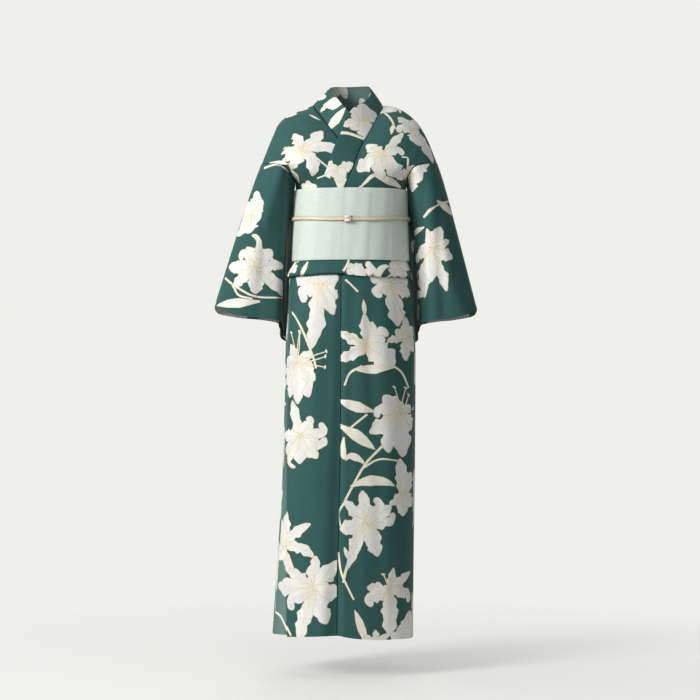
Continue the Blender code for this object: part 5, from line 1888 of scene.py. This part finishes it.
def braided_cord():
    """The cord as two plaited strands side by side, with the crossing of the plait in its form."""
    rings, around = CORD_RINGS, CORD_AROUND
    path = np.array([tuple(p) for p in even(cord_path(96), rings, closed=True)])
    ahead = unit(np.roll(path, -1, axis=0) - np.roll(path, 1, axis=0), 1, 0.0)
    up = unit(np.array([0.0, 0.0, 1.0]) - ahead * ahead[:, 2:3], 1, 0.0)
    out = np.cross(ahead, up)
    out *= np.sign((out * (path - path.mean(0))).sum(1).mean())
    along = np.concatenate([[0], np.cumsum(np.linalg.norm(np.diff(path, axis=0), axis=1))])
    total = along[-1] + np.linalg.norm(path[0] - path[-1])
    turns = round(total / PLAIT)
    points, strand, uvs = [], [], []
    for k in range(rings):
        for j in range(around):
            turn = 2 * math.pi * j / around
            flat = signed(math.cos(turn), 0.75) * (CORD_DEEP / 2 - 0.0002)
            tall = signed(math.sin(turn), 0.85) * (CORD_HIGH / 2 - 0.0003)
            pinch = 1 - 0.30 * math.exp(-((tall / 0.0011) ** 2))
            phase = turns * math.pi * along[k] / total
            lean = 2.2 * abs(tall) / (CORD_HIGH / 2)
            plait = abs(math.sin(phase + lean * (1 if tall > 0 else -1)))
            grow = 1 + 0.055 * (plait - 0.6)
            p = path[k] + out[k] * flat * pinch * grow + up[k] * tall * (1 + 0.02 * (plait - 0.5))
            points.append(p)
            strand.append(min(1.0, abs(tall) / (CORD_HIGH / 2)))
            uvs.append((along[k], tall * 1.4 + (0.02 if flat < 0 else 0)))
    faces = tube_faces(rings, around)
    piece = mesh_piece("obijime_braid", points, faces, braid_material())
    mesh = piece.data
    a, b, c = (np.array(points)[[f[k] for f in faces[:200]]] for k in range(3))
    centre = np.array([path[f[0] // around] for f in faces[:200]])
    if ((np.cross(b - a, c - a) * (a - centre)).sum(1)).mean() < 0:
        mesh.flip_normals()
    mesh.attributes.new("strand", "FLOAT", "POINT").data.foreach_set("value", strand)
    layer = mesh.uv_layers.new(name="Flat")
    index = np.empty(len(mesh.loops), np.int32)
    mesh.loops.foreach_get("vertex_index", index)
    flat_uv = np.array(uvs)[index]
    last = index.reshape(-1, 4) // around
    wrap = (last.max(1) - last.min(1)) > rings / 2
    fixed = flat_uv.reshape(-1, 4, 2)
    fixed[wrap] += np.where(last[wrap][:, :, None] == 0, [[total, 0.0]], [[0.0, 0.0]])
    layer.data.foreach_set("uv", fixed.reshape(-1, 2).ravel())
    return piece


cord_piece = braided_cord()
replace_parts(cord_piece, "obijime")


def pearl_material():
    nodes = Nodes("pearl_face")
    at = nodes.object_place()
    bands = nodes.noise(nodes.node("ShaderNodeMapping", {0: at, 3: (160, 160, 420)}), 1.0, 3.0)
    ink = nodes.mix(nodes.ramp(bands, 0.35, 0.65), rgba(246, 240, 232), rgba(226, 216, 212))
    ink = nodes.mix(nodes.ramp(nodes.noise(at, 260.0, 2.0), 0.45, 0.70, 0.0, 0.30), ink, rgba(222, 228, 220))
    nodes.surface(ink, Roughness=0.20, Coat_Weight=0.6, Coat_Roughness=0.12)
    nodes.bump(nodes.noise(at, 700.0, 2.0), 0.05, 0.0004)
    return nodes.material


def mount_material():
    nodes = Nodes("ornament_mount")
    rubbed = nodes.noise(nodes.object_place(), 420.0, 3.0)
    ink = nodes.mix(nodes.ramp(rubbed, 0.35, 0.68), rgba(214, 200, 168), rgba(190, 172, 136))
    nodes.surface(ink, Metallic=1.0, Roughness=nodes.ramp(rubbed, 0.3, 0.7, 0.26, 0.42))
    nodes.bump(rubbed, 0.08, 0.0003)
    return nodes.material


PEARL, MOUNT = pearl_material(), mount_material()
low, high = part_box("obidome")
dome_middle, dome_size = (low + high) / 2, high - low
cord_y = section(CORD_Z, front_angle(ORNAMENT_X, CORD_Z), cord_out(front_angle(ORNAMENT_X, CORD_Z))).y


SLOT_PLAY = 0.0005  # round the cord, inside the ornament
MOUNT_WIDE, MOUNT_TALL = 0.94, 0.96  # of the solid's own width and height
MOUNT_BACK, MOUNT_FRONT, MOUNT_ROUND = 0.0001, 0.0026, 0.0016  # in from the solid's back and front; rounding
PEARL_HALF, PEARL_OFF = (0.0071, 0.0029, 0.0037), 0.0040  # half sizes, and from the middle, up and down
PEARL_RINGS, PEARL_AROUND = 14, 40
BEADS, BEAD, BEAD_RINGS, BEAD_AROUND = 44, 0.00042, 6, 8


def rectangle(y0, y1, z):
    """Corners in y and z, round from the back's lower one."""
    return (y0, -z), (y0, z), (y1, z), (y1, -z)


def mount():
    """The sleeve round the cord."""
    front, slot = low.y + MOUNT_FRONT, CORD_DEEP / 2 + SLOT_PLAY
    corners = rectangle(high.y - MOUNT_BACK, front, dome_size.z * MOUNT_TALL / 2)
    corners += rectangle(cord_y + slot, cord_y - slot, CORD_HIGH / 2 + SLOT_PLAY)
    points = []
    for end in (-1, 1):
        x = dome_middle.x + end * (dome_size.x * MOUNT_WIDE) / 2
        points += [(x, y, dome_middle.z + z) for y, z in corners]
    faces = []
    for k in range(4):
        d = (k + 1) % 4
        faces += [(k, d, 8 + d, 8 + k), (4 + d, 4 + k, 12 + k, 12 + d)]
        faces += [(k, 4 + k, 4 + d, d), (8 + d, 12 + d, 12 + k, 8 + k)]
    made = mesh_piece("obidome_mount", points, faces, MOUNT)
    rounding = made.modifiers.new("rounding", "BEVEL")
    rounding.width, rounding.segments = MOUNT_ROUND, 4
    rounding.limit_method, rounding.angle_limit = "ANGLE", math.radians(40)
    made.modifiers.new("normals", "WEIGHTED_NORMAL")
    return made, front


def pearl(number, centre):
    """Half of an uneven oval pearl, lying across the mount."""
    points = []
    for i in range(PEARL_RINGS + 1):
        lift = 0.5 * math.pi * i / PEARL_RINGS
        for j in range(PEARL_AROUND):
            turn = 2 * math.pi * j / PEARL_AROUND
            uneven = 1 + 0.022 * math.sin(3 * turn + 2 * number) * math.cos(lift)
            uneven += 0.015 * math.sin(5 * turn + number)
            x = PEARL_HALF[0] * math.cos(lift) * signed(math.cos(turn), 0.85) * uneven
            z = PEARL_HALF[2] * math.cos(lift) * signed(math.sin(turn), 0.9) * uneven
            points.append(centre + np.array((x, -PEARL_HALF[1] * math.sin(lift), z)))
    faces = tube_faces(PEARL_RINGS + 1, PEARL_AROUND, False)
    return mesh_piece(f"obidome_pearl_{number + 1}", points, faces, PEARL)


def beaded_rim(number, centre):
    beads, faces = [], []
    for k in range(BEADS):
        turn = 2 * math.pi * k / BEADS
        x = PEARL_HALF[0] * 1.03 * signed(math.cos(turn), 0.85)
        z = PEARL_HALF[2] * 1.05 * signed(math.sin(turn), 0.9)
        place = centre + np.array((x, -0.0002, z))
        faces += tube_faces(BEAD_RINGS - 1, BEAD_AROUND, False, len(beads))
        for i in range(1, BEAD_RINGS):
            for j in range(BEAD_AROUND):
                a, b = math.pi * i / BEAD_RINGS, 2 * math.pi * j / BEAD_AROUND
                out = np.array((math.sin(a) * math.cos(b), math.cos(a), math.sin(a) * math.sin(b)))
                beads.append(place + BEAD * out)
    return mesh_piece(f"obidome_rim_{number + 1}", beads, faces, MOUNT)


piece, mount_front = mount()
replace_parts(piece, "obidome")
for number, end in enumerate((-1, 1)):
    centre = np.array((dome_middle.x, mount_front + 0.0004, dome_middle.z + end * PEARL_OFF))
    for build in (pearl, beaded_rim):
        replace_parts(build(number, centre), "obidome")


# ---- sewing ----
def thread_material():
    nodes = Nodes("sewing_thread")
    twist = nodes.noise(nodes.object_place(), 2600.0, 1.0)
    ink = nodes.mix(nodes.ramp(twist, 0.35, 0.65), rgba(60, 108, 100), rgba(44, 84, 78))
    nodes.surface(ink, Roughness=0.7)
    return nodes.material


THREAD = thread_material()
STITCH, THREAD_HALF, STITCH_SPACING = 0.0018, 0.00022, 0.0085
STITCH_HEIGHTS = (-0.0003, 0.0001, 0.00022, 0.0001, -0.0003)  # over the face, from one end to the other
STITCH_POINTS, STITCH_AROUND = len(STITCH_HEIGHTS), 6
STRAY_ALONG, STRAY_ASIDE = 0.0006, 0.00025  # how far a stitch may be off its even place


def stitches(name, cloth, lines, wall=CLOTH_WALL, spacing=STITCH_SPACING):
    """Small hand stitches on the face of the cloth. Each line is an array of u and one of v."""
    us, vs = [], []
    for u, v in lines:
        gaps = np.concatenate([[0], np.cumsum(np.hypot(np.diff(u), np.diff(v)))])
        count = max(1, int(gaps[-1] / spacing))
        k = np.arange(count)[:, None]
        at = gaps[-1] * (k + 0.5) / count + STRAY_ALONG * np.sin(k * 2.7)
        at = at + np.linspace(-0.5, 0.5, STITCH_POINTS) * STITCH
        us.append(np.interp(at, gaps, u))
        vs.append(np.interp(at, gaps, v) + STRAY_ASIDE * np.sin(k * 1.9))
    line, normals = cloth.shape(np.concatenate(us).ravel(), np.concatenate(vs).ravel())
    line, normals = line.reshape(-1, STITCH_POINTS, 3), normals.reshape(-1, STITCH_POINTS, 3)
    line = line + normals * (wall / 2 + np.array(STITCH_HEIGHTS)[None, :, None])
    ahead = unit(np.gradient(line, axis=1), 2, 0.0)
    side = np.cross(ahead, normals)
    turn = 2 * math.pi * np.arange(STITCH_AROUND)[None, None, :, None] / STITCH_AROUND
    ring = side[:, :, None] * np.cos(turn) + normals[:, :, None] * np.sin(turn)
    points = line[:, :, None] + THREAD_HALF * ring
    faces = []
    for k in range(len(line)):
        faces += tube_faces(STITCH_POINTS, STITCH_AROUND, False, k * STITCH_POINTS * STITCH_AROUND)
    return mesh_piece(name, points.reshape(-1, 3), faces, THREAD)


SLEEVE_TURN = 0.0125  # from the cuff to its line of stitches
OVERLAP_TURN = 0.009  # from the free edge of an overlap to its line
COLLAR_LINE, COLLAR_SPACING = 0.0022, 0.006  # from the collar's edge to its line, and between its stitches
LINE_END = 0.006  # from the side edge to the end of a line


def hem_line(cloth, v, count=80):
    low, high = cloth.edges(v)
    return np.linspace(low + LINE_END, high - LINE_END, count), np.full(count, v)


def sewing_lines(name, cloth):
    """Where the stitches of a piece run, in its flat cloth."""
    end = cloth.v[-1]
    if name == "collar":
        v = np.linspace(0.01, end - 0.01, 260)
        return [(cloth.edges(v)[0] + COLLAR_LINE, v)]
    if name.startswith("sleeve"):
        return [hem_line(cloth, end - SLEEVE_TURN, 140)]
    if name.startswith("body"):
        return [hem_line(cloth, HEM_TURN), hem_line(cloth, end - HEM_TURN)]
    v = np.linspace(0.02, end - 0.10, 220)
    return [hem_line(cloth, HEM_TURN), (cloth.edges(v)[1] - OVERLAP_TURN, v)]


for name in ("body_left", "body_right", "okumi_left", "okumi_right", "sleeve_left", "sleeve_right"):
    stitches(name + "_stitches", PIECES[name], sewing_lines(name, PIECES[name]))
stitches("collar_stitches", PIECES["collar"], sewing_lines("collar", PIECES["collar"]),
                          COLLAR_WALL, COLLAR_SPACING)

# ---- each sheet as it was cut: how it is held, and what it rests on ----
SHEETS = {
    "body_left": ("hung", ["collar_cloth"]),
    "body_right": ("hung", ["collar_cloth"]),
    "okumi_left": ("hung", ["body_left_cloth"]),
    "okumi_right": ("hung", ["body_right_cloth"]),
    "collar": ("folded", ["body_left_cloth", "body_right_cloth"]),
    "sleeve_left": ("hung", ["body_left_cloth"]),
    "sleeve_right": ("hung", ["body_right_cloth"]),
}


def declare(piece):
    """Reads the flat cloth's places from the piece's UV map; nothing further is made of them."""
    mesh = piece.data
    uv = np.empty(len(mesh.loops) * 2, np.float32)
    mesh.uv_layers["Flat"].data.foreach_get("uv", uv)
    uv = uv.reshape(-1, 2)


for name, (held, rests_on) in SHEETS.items():
    declare(made_pieces[name])
declare(obi_piece)
declare(tail_piece)

# ---- floor ----
FLOOR_RINGS, FLOOR_AROUND, FLOOR_STEP = 8, 64, 0.3
floor_points = [(0.0, 0.0, FLOOR_Z)]
for ring in range(1, FLOOR_RINGS + 1):
    for j in range(FLOOR_AROUND):
        turn = 2 * math.pi * j / FLOOR_AROUND
        floor_points.append((FLOOR_STEP * ring * math.cos(turn), FLOOR_STEP * ring * math.sin(turn), FLOOR_Z))
floor_faces = [(0, 1 + j, 1 + (j + 1) % FLOOR_AROUND) for j in range(FLOOR_AROUND)]
floor_faces += [face[::-1] for face in tube_faces(FLOOR_RINGS, FLOOR_AROUND, False, 1)]
mesh = bpy.data.meshes.new("floor")
mesh.from_pydata(floor_points, [], floor_faces)
floor = linked("floor", mesh)
nodes = Nodes("floor")
at = nodes.object_place()
level = nodes.node("ShaderNodeMapping", {0: at, 3: (1, 1, 0)})
away = nodes.node("ShaderNodeVectorMath", {0: level}, operation="LENGTH").outputs["Value"]
grain = nodes.noise(at, 60.0, 3.0)
shades = nodes.mix(nodes.ramp(grain, 0.3, 0.7, 0.0, 0.05), rgba(238, 238, 234), rgba(222, 221, 216))
nodes.surface(shades, Roughness=0.9, Alpha=nodes.ramp(away, 0.30, 1.4, 0.62, 0.0))
mesh.materials.append(nodes.material)
